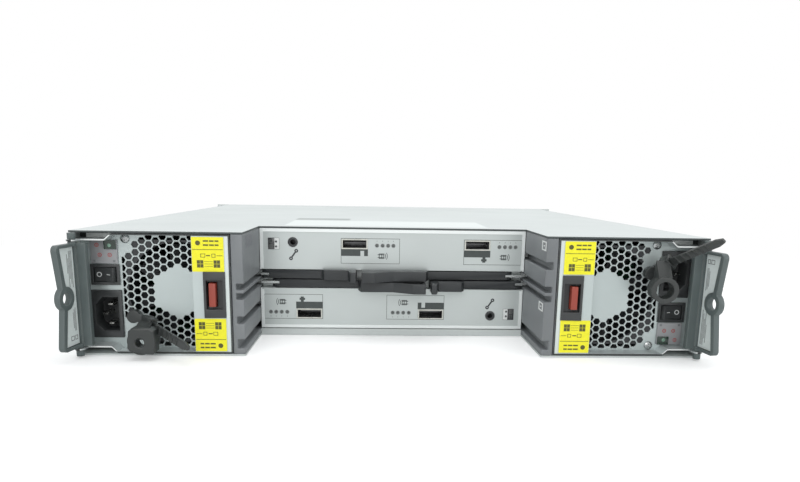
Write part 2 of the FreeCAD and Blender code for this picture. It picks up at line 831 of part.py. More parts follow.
def rocker():
    """See-saw button: two flats that meet in a shallow valley over the pivot."""
    x = from_outer(switch_centre[0])
    z = switch_centre[1]
    pivot = rocker_pivot_y()
    half = rocker_size[0] / 2
    rise = half * math.tan(math.radians(rocker_half_angle))
    crown = face_y - switch_flange - rise / 2
    foot_y = pivot + rocker_foot
    outline = [(x - half, crown), (x, crown + rise), (x + half, crown), (x + half, pivot),
               (x + rocker_foot, foot_y), (x - rocker_foot, foot_y), (x - half, pivot)]
    z_range = centred(z, rocker_size[1])
    button = along_z(outline, z_range).common(rod_z(x, pivot, rocker_radius, z_range))
    button = button.cut(rod_z(x, pivot, rocker_pin_radius + rocker_gap, z_range))
    button.rotate(vec(x, pivot, z), vec(0, 0, 1), -rocker_half_angle)
    return button


def lamp_panel():
    x = from_outer(lamp_panel_from_outer)
    low = switch_centre[1] + switch_size[1] / 2 + lamp_panel_gap
    high = lip_top - supply_skin - lamp_panel_gap
    y0 = face_y - lamp_panel_thickness
    plate = block(centred(x, lamp_panel_width), (y0, face_y), (low, high))
    right = x + lamp_panel_width / 2
    window = block((right - lamp_window[0], right), (y0 - lamp_window_rise, y0),
                   (high - lamp_window[1], high))
    return joined([plate, window])


def latch_centre():
    return from_inner(latch_from_inner), supply_mid


def latch_housing():
    """Moulded housing in the strip: a finger dish whose floor has the tab's slot."""
    x, z = latch_centre()
    half = latch_window[0] / 2
    front_y = rear + strip_setback
    back_y = front_y + latch_pocket_depth
    rim = [(x - half, front_y), (x - half, front_y - latch_rise), (x + half, front_y - latch_rise / 2),
           (x + half, front_y)]
    rim_block = along_z(rim, centred(z, latch_window[1]))
    cup = block(centred(x, latch_window[0] - 2 * latch_flange), (front_y, back_y),
                centred(z, latch_window[1] - 2 * latch_flange))
    tall = latch_tab[1] + 4 * latch_wall + 2 * latch_gap
    dish = block(centred(x, 2 * latch_pocket_half()),
                 (front_y - latch_rise - overrun, front_y + latch_dish), centred(z, tall))
    cavity = block(centred(x, 2 * latch_pocket_half()),
                   (front_y + latch_dish + latch_wall, back_y - latch_wall), centred(z, tall))
    slot_x = (latch_tab_left() - latch_travel - latch_gap, latch_tab_left() + latch_tab[0] + latch_gap)
    slot = block(slot_x, (front_y, back_y - latch_wall), centred(z, latch_tab[1] + 2 * latch_gap))
    return joined([rim_block, cup]).cut(Part.makeCompound([dish, slot])).cut(cavity)


def latch_pocket_half():
    return latch_window[0] / 2 - latch_flange - latch_wall


def latch_tab_left():
    return latch_centre()[0] - latch_pocket_half() + latch_gap + latch_travel


def latch_tab_piece():
    """Coloured release tab; its wider foot slides in the cavity behind the dish."""
    z = latch_centre()[1]
    front_y = rear + strip_setback
    left = latch_tab_left()
    floor_y = front_y + latch_pocket_depth - latch_wall - latch_gap
    tab = block((left, left + latch_tab[0]), (front_y - latch_rise, floor_y), centred(z, latch_tab[1]))
    foot = block((left, left + latch_tab[0] + latch_travel), (floor_y - 2 * latch_wall, floor_y),
                 centred(z, latch_tab[1] + 2 * latch_wall))
    return joined([tab, foot])


# --- Power supply: handle -----------------------------------------------------------------
def handle_profile(inset_rim, inset_bar, inset_root):
    """Side outline of the handle, (y, z); its rear bar dips towards the ring in the middle."""
    root = rear - handle_root_gap - inset_root
    tip = rear - handle_reach + inset_bar
    low = supply_mid - handle_height / 2 + inset_rim
    high = supply_mid + handle_height / 2 - inset_rim
    neck = handle_ring_radius * 0.8
    return [
        (root, low), (tip, low), (tip + handle_dip, supply_mid - neck),
        (tip + handle_dip, supply_mid + neck), (tip, high), (root, high),
    ]


def rounded_corners(solid, radius):
    """Round the handle's two rear corners."""
    tip = rear - handle_reach
    corners = []
    for edge in solid.Edges:
        ends = [v.Point for v in edge.Vertexes]
        at_tip = all(abs(p.y - tip) < 0.01 for p in ends)
        if at_tip and abs(ends[0].z - ends[-1].z) < 0.01:
            corners.append(edge)
    return solid.makeFillet(radius, corners)


def ring_centre():
    return rear - handle_reach + handle_ring_radius, supply_mid


def splayed(shape):
    x, y = hinge_axis()
    turned = shape.copy()
    turned.rotate(vec(x, y, 0), vec(0, 0, 1), -handle_splay_angle)
    return turned


def supply_handle():
    x, y = hinge_axis()
    outside = x - handle_thickness / 2
    inside = x + handle_thickness / 2
    body = rounded_corners(along_x(handle_profile(0, 0, 0), (outside, inside)), handle_corner)
    tray = handle_profile(handle_rim, handle_bar, handle_root_rim + handle_flange_thickness)
    body = body.cut(along_x(tray, (outside + handle_web, inside + overrun)))
    ring_y, ring_z = ring_centre()
    ring = rod_x(ring_y, ring_z, handle_ring_radius, (outside, inside))
    hole = rod_x(ring_y, ring_z, handle_ring_hole, (outside - overrun, inside + overrun))
    root_y = rear - handle_root_gap
    z_range = centred(supply_mid, handle_height)
    flange = block((inside - overrun, inside + handle_flange),
                   (root_y - handle_flange_thickness, root_y), z_range)
    handle = joined([joined([body, ring]).cut(hole), flange] + handle_pivots(x, y))
    return splayed(handle)


def handle_pivots(x, y):
    """Knuckle, pin and head at both ends of the handle, through the lips' ears."""
    ear_top = lip_top
    ear_bottom = ear_top - supply_skin
    handle_top = supply_mid + handle_height / 2
    head_top = cover_bottom
    pivots = []
    upper = [
        rod_z(x, y, hinge_knuckle_radius, (handle_top - overrun, ear_bottom - hinge_gap)),
        rod_z(x, y, hinge_pin_radius, (handle_top - overrun, ear_top + hinge_gap)),
        rod_z(x, y, hinge_knuckle_radius, (ear_top + hinge_gap, head_top)),
    ]
    for shape in upper:
        pivots.append(shape)
        mirrored = shape.mirror(vec(0, 0, supply_mid), vec(0, 0, 1))
        pivots.append(mirrored)
    return pivots


def label_plate():
    """Plain plate on the handle's web, cut out round the ring."""
    x, _ = hinge_axis()
    web = x - handle_thickness / 2 + handle_web
    rim = handle_rim + label_plate_margin
    bar = handle_bar + label_plate_margin
    root = handle_root_rim + handle_flange_thickness + label_plate_margin
    plate = along_x(handle_profile(rim, bar, root), (web, web + label_plate_thickness))
    ring_y, ring_z = ring_centre()
    cutout = rod_x(ring_y, ring_z, handle_ring_radius + label_plate_margin, (web - overrun, web + overrun))
    return splayed(plate.cut(cutout))


# --- Power supply: cord retaining strap ------------------------------------------------------
def strap_middle():
    """Depth at which the strap bends away from its root."""
    return face_y - hinge_gap - anchor_foot - strap_root_thickness / 2


def strap_frame(side):
    """Anchor (x, z), direction in the face and slope of the strap on one side."""
    x, z = anchor_point()
    if side < 0:
        return x, z, strap_angles_left[0], strap_angles_left[1]
    return -x, body_height - z, strap_angles_right[0], strap_angles_right[1]


def strap_root(side):
    """Push-in root: a foot on the face and a shank through it, with a barb behind."""
    x, z, _, _ = strap_frame(side)
    front_y = face_y - hinge_gap
    behind = face_y + face_sheet + hinge_gap
    return [rod_y(x, z, anchor_radius, (front_y - anchor_foot - strap_root_thickness, front_y)),
            rod_y(x, z, anchor_hole_radius - hinge_gap / 2, (front_y, behind)),
            rod_y(x, z, anchor_barb_radius, (behind, behind + anchor_barb))]


def lay_on_strap(shape, side):
    """Move a shape made along +X from the bend, thickness along Y, on to the sloping strap."""
    x, z, direction, slope = strap_frame(side)
    middle = strap_middle()
    placed = shape.copy()
    placed.rotate(vec(0, 0, 0), vec(0, 0, 1), -slope)
    placed.translate(vec(x + strap_bend_at, middle, z))
    placed.rotate(vec(x, middle, z), vec(0, 1, 0), -direction)
    return placed


def cord_strap(side):
    """Toothed strap that slopes out of the face from its push-in root."""
    x, z, direction, _ = strap_frame(side)
    arm = block((x, x + strap_bend_at), centred(strap_middle(), strap_root_thickness),
                centred(z, strap_width))
    arm.rotate(vec(x, 0, z), vec(0, 1, 0), -direction)
    half = strap_width / 2
    length = strap_length - strap_bend_at
    taper = strap_tip_taper
    plan = [(0, -half), (length - taper, -half), (length, -half / 2), (length, half / 2),
            (length - taper, half), (0, half)]
    band = along_y(plan, centred(0, strap_thickness))
    knuckle = rod_z(0, 0, strap_root_thickness / 2, (-half, half))
    teeth = []
    start = saddle_at + saddle_size[0] / 2 + strap_tooth_pitch
    count = round((length - taper - start) / strap_tooth_pitch)
    for i in range(count):
        along = start + i * strap_tooth_pitch
        teeth.append(block((along, along + strap_tooth), (-strap_thickness / 2 - strap_tooth, 0),
                           (-half, half)))
    return joined(strap_root(side) + [arm, lay_on_strap(joined([band, knuckle] + teeth), side)])


def cord_clamp(side):
    """Saddle that slides on the strap, with a cord ring on a neck below it.

    The strap's channel may part an offcut from the ring's edge, which is dropped.
    """
    long, wide, thick = saddle_size
    saddle = block(centred(saddle_at, long), centred(0, thick), centred(0, wide))
    channel = block((saddle_at - long, saddle_at + 3 * long),
                    (-strap_thickness / 2 - strap_tooth - saddle_gap, strap_thickness / 2 + saddle_gap),
                    centred(0, strap_width + 2 * saddle_gap))
    saddle = lay_on_strap(saddle, side)
    channel = lay_on_strap(channel, side)
    hub = saddle.BoundBox.Center
    centre = hub + vec(*(clamp_ring_left if side < 0 else clamp_ring_right))
    yaw = clamp_yaw_left if side < 0 else clamp_yaw_right
    half = clamp_ring_width / 2
    inner = clamp_ring_radius - clamp_ring_wall
    ring = rod_y(centre.x, centre.z, clamp_ring_radius, (centre.y - half, centre.y + half))
    bore = rod_y(centre.x, centre.z, inner, (centre.y - half - overrun, centre.y + half + overrun))
    ring.rotate(centre, vec(0, 0, 1), yaw)
    bore.rotate(centre, vec(0, 0, 1), yaw)
    neck = along_x([(hub.y - thick / 2, hub.z + wide / 4), (hub.y - thick / 4, hub.z - wide / 3),
                    (centre.y + half, centre.z + inner), (centre.y - half / 2, centre.z + inner),
                    (centre.y - half / 2, centre.z + clamp_ring_radius)],
                   centred(centre.x, clamp_neck))
    clamp = joined([saddle, ring, neck]).cut(Part.makeCompound([bore, channel]))
    return max(clamp.Solids, key=lambda solid: solid.Volume)


# --- I/O module --------------------------------------------------------------------------------
# Every module piece is made for the upper bay; the lower module is the same, turned half a turn.
def lever_edge():
    return module_mid + module_gap / 2


def module_top():
    return lever_edge() + module_height


def port_level():
    return module_top() - port_drop


def module_board_level():
    return port_level() - port_opening[1] / 2 - port_wall - module_board_gap


def canister():
    """Folded sheet shell; its front is hemmed round three edges of the face plate."""
    low = lever_edge()
    high = module_top()
    hem_y = module_face_y - hem_rise
    channel_y = module_face_y + lever_channel_depth
    shelf = low + lever_channel_height
    t = module_skin
    outside = [(hem_y, shelf), (hem_y, high), (module_back, high),
               (module_back, low), (channel_y, low), (channel_y, shelf)]
    inside = [(module_face_y, shelf + t), (module_face_y, high - t), (module_back + overrun, high - t),
              (module_back + overrun, low + t), (channel_y + t, low + t), (channel_y + t, shelf + t)]
    shell = along_x(outside, (-module_half, module_half))
    shell = shell.cut(along_x(inside, (-module_half + t, module_half - t)))
    window = block((-module_half + hem_width, module_half - hem_width), (hem_y - overrun, module_face_y),
                   (shelf - overrun, high - hem_width))
    corners = [block((side * module_half, side * (module_half - t)), (hem_y, module_face_y),
                     (shelf, shelf + t)) for side in (-1, 1)]
    seat = block((-module_half + t, module_half - t),
                 (module_face_y - overrun, module_face_y + module_sheet + hem_gap),
                 (shelf - overrun, shelf + t))
    return joined([shell.cut(window)] + corners + side_runners(channel_y, module_back)).cut(seat)


def side_runners(start, back):
    """Runners that carry the module in the bay walls' grooves."""
    reach = recess_half + groove_depth - runner_gap
    runners = []
    for side, heights in ((-1, runner), (1, runner), (1, key_runner)):
        z_range = runner_heights(heights, False)
        runners.append(block((side * module_half, side * reach), (start, back), z_range))
    return runners


def module_face():
    y_range = (module_face_y, module_face_y + module_sheet)
    y_cut = (y_range[0] - overrun, y_range[1] + overrun)
    low = lever_edge()
    side = module_half - module_skin - hem_gap
    plate = block((-side, side), y_range,
                  (low + lever_channel_height, module_top() - module_skin - hem_gap))
    cuts = [rod_y(-module_half + jack_from_left, module_top() - jack_drop, jack_radius, y_cut),
            block(centred(-module_half + display_from_left, display_size[0]), y_cut,
                  centred(module_top() - display_drop, display_size[1]))]
    for x in port_centres:
        cuts.append(block(centred(x, port_opening[0] + 2 * port_wall), y_cut,
                          centred(port_level(), port_opening[1] + 2 * port_wall)))
        cuts += [rod_y(x + offset, module_top() - lamp_drop, lamp_radius, y_cut) for offset in lamp_offsets]
    return plate.cut(Part.makeCompound(cuts))


def module_ports():
    cages = []
    z = port_level()
    for x in port_centres:
        y0 = module_face_y - port_rise
        cage = block(centred(x, port_opening[0] + 2 * port_wall), (y0, y0 + port_depth),
                     centred(z, port_opening[1] + 2 * port_wall))
        mouth = block(centred(x, port_opening[0]), (y0 - overrun, y0 + port_mouth_depth),
                      centred(z, port_opening[1]))
        tongue = block(centred(x, port_opening[0] - 2 * port_wall),
                       (y0 + port_mouth_depth / 2, y0 + port_depth), centred(z, port_wall))
        cages.append(joined([cage.cut(mouth), tongue]))
    return Part.makeCompound(cages)


def service_jack():
    x = -module_half + jack_from_left
    z = module_top() - jack_drop
    y0 = module_face_y - jack_rise
    barrel = rod_y(x, z, jack_radius, (y0, y0 + jack_depth))
    return barrel.cut(rod_y(x, z, jack_bore, (y0 - overrun, y0 + jack_depth - jack_rise)))


def shelf_display():
    y0 = module_face_y - display_rise
    return block(centred(-module_half + display_from_left, display_size[0]), (y0, y0 + display_thickness),
                 centred(module_top() - display_drop, display_size[1]))


def module_board():
    level = module_board_level()
    z_range = (level - module_board_thickness, level)
    board = block((-module_half + module_skin, module_half - module_skin),
                  (module_face_y + module_sheet + module_board_setback, module_back), z_range)
    tongues = [block(centred(side * module_plug_offset, tongue_width(module_plug)),
                     (module_back - overrun, tongue_end()), z_range) for side in (-1, 1)]
    middle = (module_face_y + module_back) / 2
    chips = [block(centred(dx, size[0]), centred(middle + dy, size[1]), (level, level + size[2]))
             for dx, dy, size in module_board_parts]
    return joined([board] + tongues + chips)


# --- I/O module: levers --------------------------------------------------------------------------
def long_pivot():
    return module_half - long_pivot_from_edge, module_face_y + pivot_behind_face


def short_pivot():
    return -module_half + short_pivot_from_edge, module_face_y + pivot_behind_face


def lever_brackets():
    """Steel tabs in the lever channel, each with the pin that a lever turns on."""
    low = lever_edge()
    z_range = (low + bracket_height, low + bracket_height + bracket_thickness)
    brackets = []
    for side, (x, y) in ((1, long_pivot()), (-1, short_pivot())):
        tab = block((x - side * bracket_reach, side * module_half),
                    (module_face_y + bracket_setback, module_face_y + lever_channel_depth), z_range)
        pin = rod_z(x, y, pivot_radius, (low + lever_clearance, low + lever_clearance + lever_height))
        brackets.append(joined([tab, pin]))
    return Part.makeCompound(brackets)


def lever(pivot, towards, bar_plan, grip_plan, pocket_plan):
    """A moulded lever: a low bar in the module's channel and a taller grip outside the face."""
    x, y = pivot
    low = lever_edge() + lever_clearance
    z_range = (low, low + lever_height)
    parts = [along_z(bar_plan, z_range), rod_z(x, y, lever_root_radius, z_range),
             along_z(grip_plan, (low, low + grip_height))]
    body = joined(parts)
    pocket = along_z(pocket_plan, (low - overrun, low + grip_height - grip_wall))
    fork_z = (lever_edge() + bracket_height - pivot_gap,
              lever_edge() + bracket_height + bracket_thickness + pivot_gap)
    closed_y = module_face_y + bracket_setback - pivot_gap
    fork = block((x, x + towards * fork_length), (closed_y, y + fork_length), fork_z)
    open_side = block((x - towards * fork_length, x + towards * pivot_radius),
                      (y - fork_length, y + fork_length), fork_z)
    bore = rod_z(x, y, pivot_radius + pivot_gap, (low - overrun, low + lever_height + overrun))
    return body.cut(Part.makeCompound([pocket, bore])).cut(fork.fuse(open_side))


def lever_long():
    pivot = long_pivot()
    face = module_face_y
    out = face - lever_front
    back = out + lever_bar
    bar = [(pivot[0], back), (pivot[0], out), (long_grip_start, out), (long_grip_start, out - grip_clear),
           (long_grip_end, out - grip_clear), (long_grip_end, out), (long_grip_end + grip_lead, back)]
    near = face - grip_out_near
    far = face - grip_out_far
    inner = out - grip_clear
    grip = [(long_grip_start, inner), (long_grip_start - grip_lead, near), (long_grip_bend, near),
            (long_grip_ramp, far), (long_grip_end, far), (long_grip_end, inner)]
    t = grip_wall
    pocket = [(long_grip_start - grip_lead - t, inner), (long_grip_start - grip_lead - t, near + t),
              (long_grip_bend + t / 2, near + t), (long_grip_ramp + t / 2, far + t),
              (long_grip_end + t, far + t), (long_grip_end + t, inner)]
    return lever(pivot, -1, bar, grip, pocket)


def lever_short():
    pivot = short_pivot()
    face = module_face_y
    out = face - lever_front
    back = out + lever_bar
    near = face - short_out_near
    far = face - hook_out
    inner = out - grip_clear
    bar = [(pivot[0], back), (pivot[0], out), (short_step, out), (short_step, inner), (short_end, inner),
           (short_end, back)]
    root = short_end - hook_thickness
    grip = [(short_step, inner), (short_step + grip_lead, near), (short_hook, near), (root, far),
            (short_end, far), (short_end, inner)]
    t = grip_wall
    pocket = [(short_step + grip_lead + t, inner), (short_step + grip_lead + t, near + t),
              (short_hook, near + t), (short_hook, inner)]
    return lever(pivot, 1, bar, grip, pocket)


# --- The whole shelf ---------------------------------------------------------------------------------
def chassis_nodes():
    wall_left, wall_right = bay_walls()
    return {
        "chassis_pan": chassis_pan(),
        "top_cover": top_cover(),
        "bay_wall_left": wall_left,
        "bay_wall_right": wall_right,
        "rack_ear_left": rack_ear(-1),
        "rack_ear_right": rack_ear(1),
        "drive_guide_lower": drive_guide(False),
        "drive_guide_upper": drive_guide(True),
        "midplane_board": midplane_board(),
        "midplane_connectors": Part.makeCompound(drive_connectors() + module_connectors()),
    }


def supply_nodes():
    return {
        "case": supply_case(),
        "face": supply_face(),
        "screws": face_screws(),
        "board": supply_board(),
        "fan_frame": fan_frame(),
        "fan_rotor": fan_rotor(),
        "inlet": power_inlet(),
        "switch_frame": switch_frame(),
        "rocker": rocker(),
        "lamp_panel": lamp_panel(),
        "latch_housing": latch_housing(),
        "latch_tab": latch_tab_piece(),
        "handle": supply_handle(),
        "label_plate": label_plate(),
    }


def module_nodes():
    return {
        "canister": canister(),
        "face": module_face(),
        "ports": module_ports(),
        "jack": service_jack(),
        "display": shelf_display(),
        "board": module_board(),
        "brackets": lever_brackets(),
        "lever_long": lever_long(),
        "lever_short": lever_short(),
    }


def main():
    os.makedirs("parts", exist_ok=True)
    for name, shape in chassis_nodes().items():
        save(name, shape)
    for name, shape in supply_nodes().items():
        save("psu_left_" + name, shape)
        save("psu_right_" + name, half_turn(shape, supply_mid))
    for side, label in ((-1, "left"), (1, "right")):
        save("psu_" + label + "_strap", cord_strap(side))
        save("psu_" + label + "_clamp", cord_clamp(side))
    for name, shape in module_nodes().items():
        save("iom_upper_" + name, shape)
        save("iom_lower_" + name, half_turn(shape, module_mid))


main()
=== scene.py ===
import bmesh
import bpy
import json
import math
from mathutils import Matrix, Vector
from mathutils.bvhtree import BVHTree

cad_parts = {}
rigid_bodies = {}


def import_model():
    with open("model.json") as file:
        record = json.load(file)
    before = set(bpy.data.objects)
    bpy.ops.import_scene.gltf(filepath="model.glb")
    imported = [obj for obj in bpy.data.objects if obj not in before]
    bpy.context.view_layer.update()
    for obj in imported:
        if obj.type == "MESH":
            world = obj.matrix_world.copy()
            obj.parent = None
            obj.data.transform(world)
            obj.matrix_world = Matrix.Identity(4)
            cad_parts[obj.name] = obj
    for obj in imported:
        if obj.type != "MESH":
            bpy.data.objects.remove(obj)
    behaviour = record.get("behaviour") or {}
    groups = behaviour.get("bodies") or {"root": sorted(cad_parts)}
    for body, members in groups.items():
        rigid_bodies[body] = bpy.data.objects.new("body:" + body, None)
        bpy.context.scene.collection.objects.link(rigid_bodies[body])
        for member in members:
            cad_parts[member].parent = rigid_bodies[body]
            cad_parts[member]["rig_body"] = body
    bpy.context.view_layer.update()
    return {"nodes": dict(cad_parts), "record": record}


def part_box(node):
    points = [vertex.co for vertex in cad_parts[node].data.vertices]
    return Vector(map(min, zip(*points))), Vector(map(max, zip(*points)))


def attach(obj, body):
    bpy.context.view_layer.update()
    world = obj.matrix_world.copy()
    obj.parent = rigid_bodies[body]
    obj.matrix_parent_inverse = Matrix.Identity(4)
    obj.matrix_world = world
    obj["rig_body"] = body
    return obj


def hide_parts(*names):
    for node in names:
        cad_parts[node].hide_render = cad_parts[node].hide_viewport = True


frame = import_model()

nodes = frame["nodes"]
scene = bpy.context.scene
mm = 0.001
print("stage 1: shelf frame loaded,", len(nodes), "nodes")


# places read from the frame, in millimetres
def boxOf(node):
    low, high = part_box(node)
    return Vector(low) / mm, Vector(high) / mm


caseLow, caseHigh = boxOf("psu_left_case")
stripLow, stripHigh = boxOf("psu_left_face")  # the latch strip is the face's frontmost part
moduleFaceY = boxOf("iom_upper_face")[0].y
moduleTop = boxOf("iom_upper_canister")[1].z
moduleBottom = boxOf("iom_lower_canister")[0].z
supplyMid = (caseLow.z + caseHigh.z) / 2  # the right supply is turned about this height
moduleMid = (moduleTop + moduleBottom) / 2  # the lower module is turned about this height


def halfTurn(height):
    level = height * mm
    turn = Matrix.Rotation(math.pi, 4, "Y")
    return Matrix.Translation((0, 0, level)) @ turn @ Matrix.Translation((0, 0, -level))


supplySides = (("left", Matrix()), ("right", halfTurn(supplyMid)))
moduleLevels = (("upper", Matrix()), ("lower", halfTurn(moduleMid)))

bevelSamples = 4
wearBreaks = {"noise": (90, 3), "share": (0.45, 1.0)}  # what breaks up the wear along an edge


# small helpers for the finishes
def newMaterial(name):
    mat = bpy.data.materials.new(name)
    mat.use_nodes = True
    tree = mat.node_tree
    tree.nodes.clear()
    out = tree.nodes.new("ShaderNodeOutputMaterial")
    shader = tree.nodes.new("ShaderNodeBsdfPrincipled")
    tree.links.new(shader.outputs["BSDF"], out.inputs["Surface"])
    coords = tree.nodes.new("ShaderNodeTexCoord")
    return tree, shader, coords.outputs["Object"]


def noiseField(tree, coords, scale, detail=3.0, stretch=(1, 1, 1)):
    mapping = tree.nodes.new("ShaderNodeMapping")
    mapping.inputs["Scale"].default_value = stretch
    noise = tree.nodes.new("ShaderNodeTexNoise")
    noise.inputs["Scale"].default_value = scale
    noise.inputs["Detail"].default_value = detail
    tree.links.new(coords, mapping.inputs["Vector"])
    tree.links.new(mapping.outputs["Vector"], noise.inputs["Vector"])
    return noise.outputs["Fac"]


def spread(tree, field, low, high, fromLow=0.3, fromHigh=0.7):
    ranger = tree.nodes.new("ShaderNodeMapRange")
    ranger.inputs["From Min"].default_value = fromLow
    ranger.inputs["From Max"].default_value = fromHigh
    ranger.inputs["To Min"].default_value = low
    ranger.inputs["To Max"].default_value = high
    tree.links.new(field, ranger.inputs["Value"])
    return ranger.outputs["Result"]


def combine(tree, operation, first, second):
    node = tree.nodes.new("ShaderNodeMath")
    node.operation = operation
    for socket, value in zip(node.inputs, (first, second)):
        if isinstance(value, float):
            socket.default_value = value
        else:
            tree.links.new(value, socket)
    return node.outputs[0]


def along(tree, vector, axis):
    split = tree.nodes.new("ShaderNodeSeparateXYZ")
    tree.links.new(vector, split.inputs[0])
    return split.outputs[axis]


# 1 inside a span of one axis, 0 outside; low, high and the soft edge are in millimetres
def inSpan(tree, coords, axis, low, high, soft=0.05):
    place = along(tree, coords, axis)
    rise = spread(tree, place, 0.0, 1.0, (low - soft) * mm, (low + soft) * mm)
    fall = spread(tree, place, 1.0, 0.0, (high - soft) * mm, (high + soft) * mm)
    return combine(tree, "MULTIPLY", rise, fall)


# 1 further out than this distance from the middle plane, on both sides
def beyond(tree, coords, distance, soft=0.04):
    across = along(tree, coords, 0)
    square = combine(tree, "MULTIPLY", across, across)
    return spread(tree, square, 0.0, 1.0, ((distance - soft) * mm) ** 2, ((distance + soft) * mm) ** 2)


def facing(tree, axis, low, high):
    geometry = tree.nodes.new("ShaderNodeNewGeometry")
    return spread(tree, along(tree, geometry.outputs["True Normal"], axis), 0.0, 1.0, low, high)


# first and second are a colour or the output of another node
def colourMix(tree, factor, first, second):
    mix = tree.nodes.new("ShaderNodeMix")
    mix.data_type = "RGBA"
    tree.links.new(factor, mix.inputs["Factor"])
    for socket, value in (("A", first), ("B", second)):
        slot = [s for s in mix.inputs if s.name == socket and s.type == "RGBA"][0]
        if isinstance(value, tuple):
            slot.default_value = (*value, 1)
        else:
            tree.links.new(value, slot)
    return [s for s in mix.outputs if s.type == "RGBA"][0]


def shaded(colour, share):
    return tuple(part * share for part in colour)


# first, shifted towards second by noise
def mottled(tree, coords, noise, first, second):
    return colourMix(tree, spread(tree, noiseField(tree, coords, *noise), 0, 1), first, second)


def roundedNormal(tree, radius):
    bevel = tree.nodes.new("ShaderNodeBevel")
    bevel.samples = bevelSamples
    bevel.inputs["Radius"].default_value = radius
    return bevel.outputs["Normal"]


def addBump(tree, shader, field, height, strength, roundEdge=0.0):
    bump = tree.nodes.new("ShaderNodeBump")
    bump.inputs["Strength"].default_value = strength
    bump.inputs["Distance"].default_value = height
    tree.links.new(field, bump.inputs["Height"])
    if roundEdge:
        tree.links.new(roundedNormal(tree, roundEdge), bump.inputs["Normal"])
    tree.links.new(bump.outputs["Normal"], shader.inputs["Normal"])


# how far the rounded normal leaves the flat one, broken up by noise: 1 on a worn edge
def edgeWear(tree, coords, radius, low, high, most):
    geometry = tree.nodes.new("ShaderNodeNewGeometry")
    dot = tree.nodes.new("ShaderNodeVectorMath")
    dot.operation = "DOT_PRODUCT"
    tree.links.new(roundedNormal(tree, radius), dot.inputs[0])
    tree.links.new(geometry.outputs["Normal"], dot.inputs[1])
    edge = spread(tree, dot.outputs["Value"], most, 0.0, low, high)
    breaks = spread(tree, noiseField(tree, coords, *wearBreaks["noise"]), *wearBreaks["share"])
    return combine(tree, "MULTIPLY", edge, breaks)


# gives the shader its base colour, and a roughness that wanders between two values
def colourAndRough(tree, shader, body, field, low, high):
    tree.links.new(body, shader.inputs["Base Color"])
    tree.links.new(spread(tree, field, low, high), shader.inputs["Roughness"])


# silver paint of the shelf: cloudy, with fine flake; the cover's edges and sides get painted shade
shelfPaint = {"colour": (0.60, 0.64, 0.63), "flake": (0.74, 0.77, 0.76), "edge": (0.085, 0.098, 0.098),
              "cloudNoise": (9, 5), "clouds": 0.93, "flakeNoise": (900, 2), "flakes": (0, 0.12),
              "roughNoise": (26, 4), "rough": (0.46, 0.58), "metallic": 0.12, "shine": 0.28,
              "shadedUnlessUpward": (0.6, 0.4), "bump": (0.00004, 0.35, 0.0003)}
# the cover has the shelf's own paint, painted paler as painted sheen from the light it reflects, with a
# paler patch (film) and a darker patch (slot)
coverSheenAndMarks = {"colour": (0.65, 0.695, 0.69), "flake": (0.74, 0.775, 0.77), "soft": 1.2,
              "slotX": (-88.5, -38.5), "slotY": (-92.0, -66.0), "slotColour": (0.40, 0.435, 0.43),
              "filmX": (-88.0, 78.0), "filmY": (-165.0, -98.0), "filmColour": (0.77, 0.82, 0.81)}


def makeShelfPaint(name, cover=False):
    tree, shader, coords = newMaterial(name)
    look = coverSheenAndMarks if cover else shelfPaint
    dark = shaded(look["colour"], shelfPaint["clouds"])
    body = mottled(tree, coords, shelfPaint["cloudNoise"], look["colour"], dark)
    speck = noiseField(tree, coords, *shelfPaint["flakeNoise"])
    body = colourMix(tree, spread(tree, speck, *shelfPaint["flakes"]), body, look["flake"])
    if cover:
        for part in ("film", "slot"):
            acrossX = inSpan(tree, coords, 0, *coverSheenAndMarks[part + "X"], coverSheenAndMarks["soft"])
            acrossY = inSpan(tree, coords, 1, *coverSheenAndMarks[part + "Y"], coverSheenAndMarks["soft"])
            here = combine(tree, "MULTIPLY", acrossX, acrossY)
            body = colourMix(tree, here, body, coverSheenAndMarks[part + "Colour"])
        # painted shade: faces of the cover that don't face up, such as its front edge, are painted dark
        body = colourMix(tree, facing(tree, 2, *shelfPaint["shadedUnlessUpward"]), body, shelfPaint["edge"])
    sheen = noiseField(tree, coords, *shelfPaint["roughNoise"])
    colourAndRough(tree, shader, body, sheen, *shelfPaint["rough"])
    shader.inputs["Metallic"].default_value = shelfPaint["metallic"]
    shader.inputs["Specular IOR Level"].default_value = shelfPaint["shine"]
    addBump(tree, shader, speck, *shelfPaint["bump"])


# coated and bare sheet: rolled grain drawn along one way, a little brighter where edges rub;
# each has its bright and dull colour, roughness from and to, metallic and edge radius
sheetMetals = {
    "silverFacePaint": ((0.54, 0.605, 0.60), (0.50, 0.555, 0.55), (0.30, 0.40), 0.45, 0.0004),
    "moduleFacePaint": ((0.575, 0.62, 0.61), (0.545, 0.585, 0.575), (0.28, 0.38), 0.45, 0.0004),
    "canisterSteel": ((0.66, 0.70, 0.69), (0.60, 0.64, 0.63), (0.38, 0.46), 0.4, 0),
    "supplyCaseSteel": ((0.56, 0.60, 0.60), (0.47, 0.51, 0.51), (0.38, 0.48), 0.4, 0),
    "platedSteel": ((0.62, 0.65, 0.64), (0.50, 0.53, 0.52), (0.22, 0.36), 0.85, 0.0004),
    "brightScrew": ((0.50, 0.52, 0.52), (0.36, 0.38, 0.38), (0.16, 0.26), 1.0, 0.0004),
    "nickelPin": ((0.48, 0.48, 0.46), (0.40, 0.40, 0.38), (0.20, 0.30), 1.0, 0.0003),
}
sheetGrain = {"grain": (60, 5, (1, 1, 6)), "cloud": (18, 4), "worn": (0.80, 0.99, 0.5),
              "rub": (0.70, 0.73, 0.72), "outward": (-0.6, -0.9), "bump": (0.00003, 0.4), "round": 0.75}
# painted light on front edges: shade on the supply case's skin, highlights on its notch lips and on the
# module's hem; a paler rim on the latch strip
edgeShadeAndHighlight = {"outer": (0.05, 0.055, 0.055), "lip": (0.80, 0.83, 0.82), "rim": (0.68, 0.74, 0.72),
             "rimWide": 2.4, "hemHighlight": (0.84, 0.88, 0.87), "hinge": 4.6, "skin": 1.0}


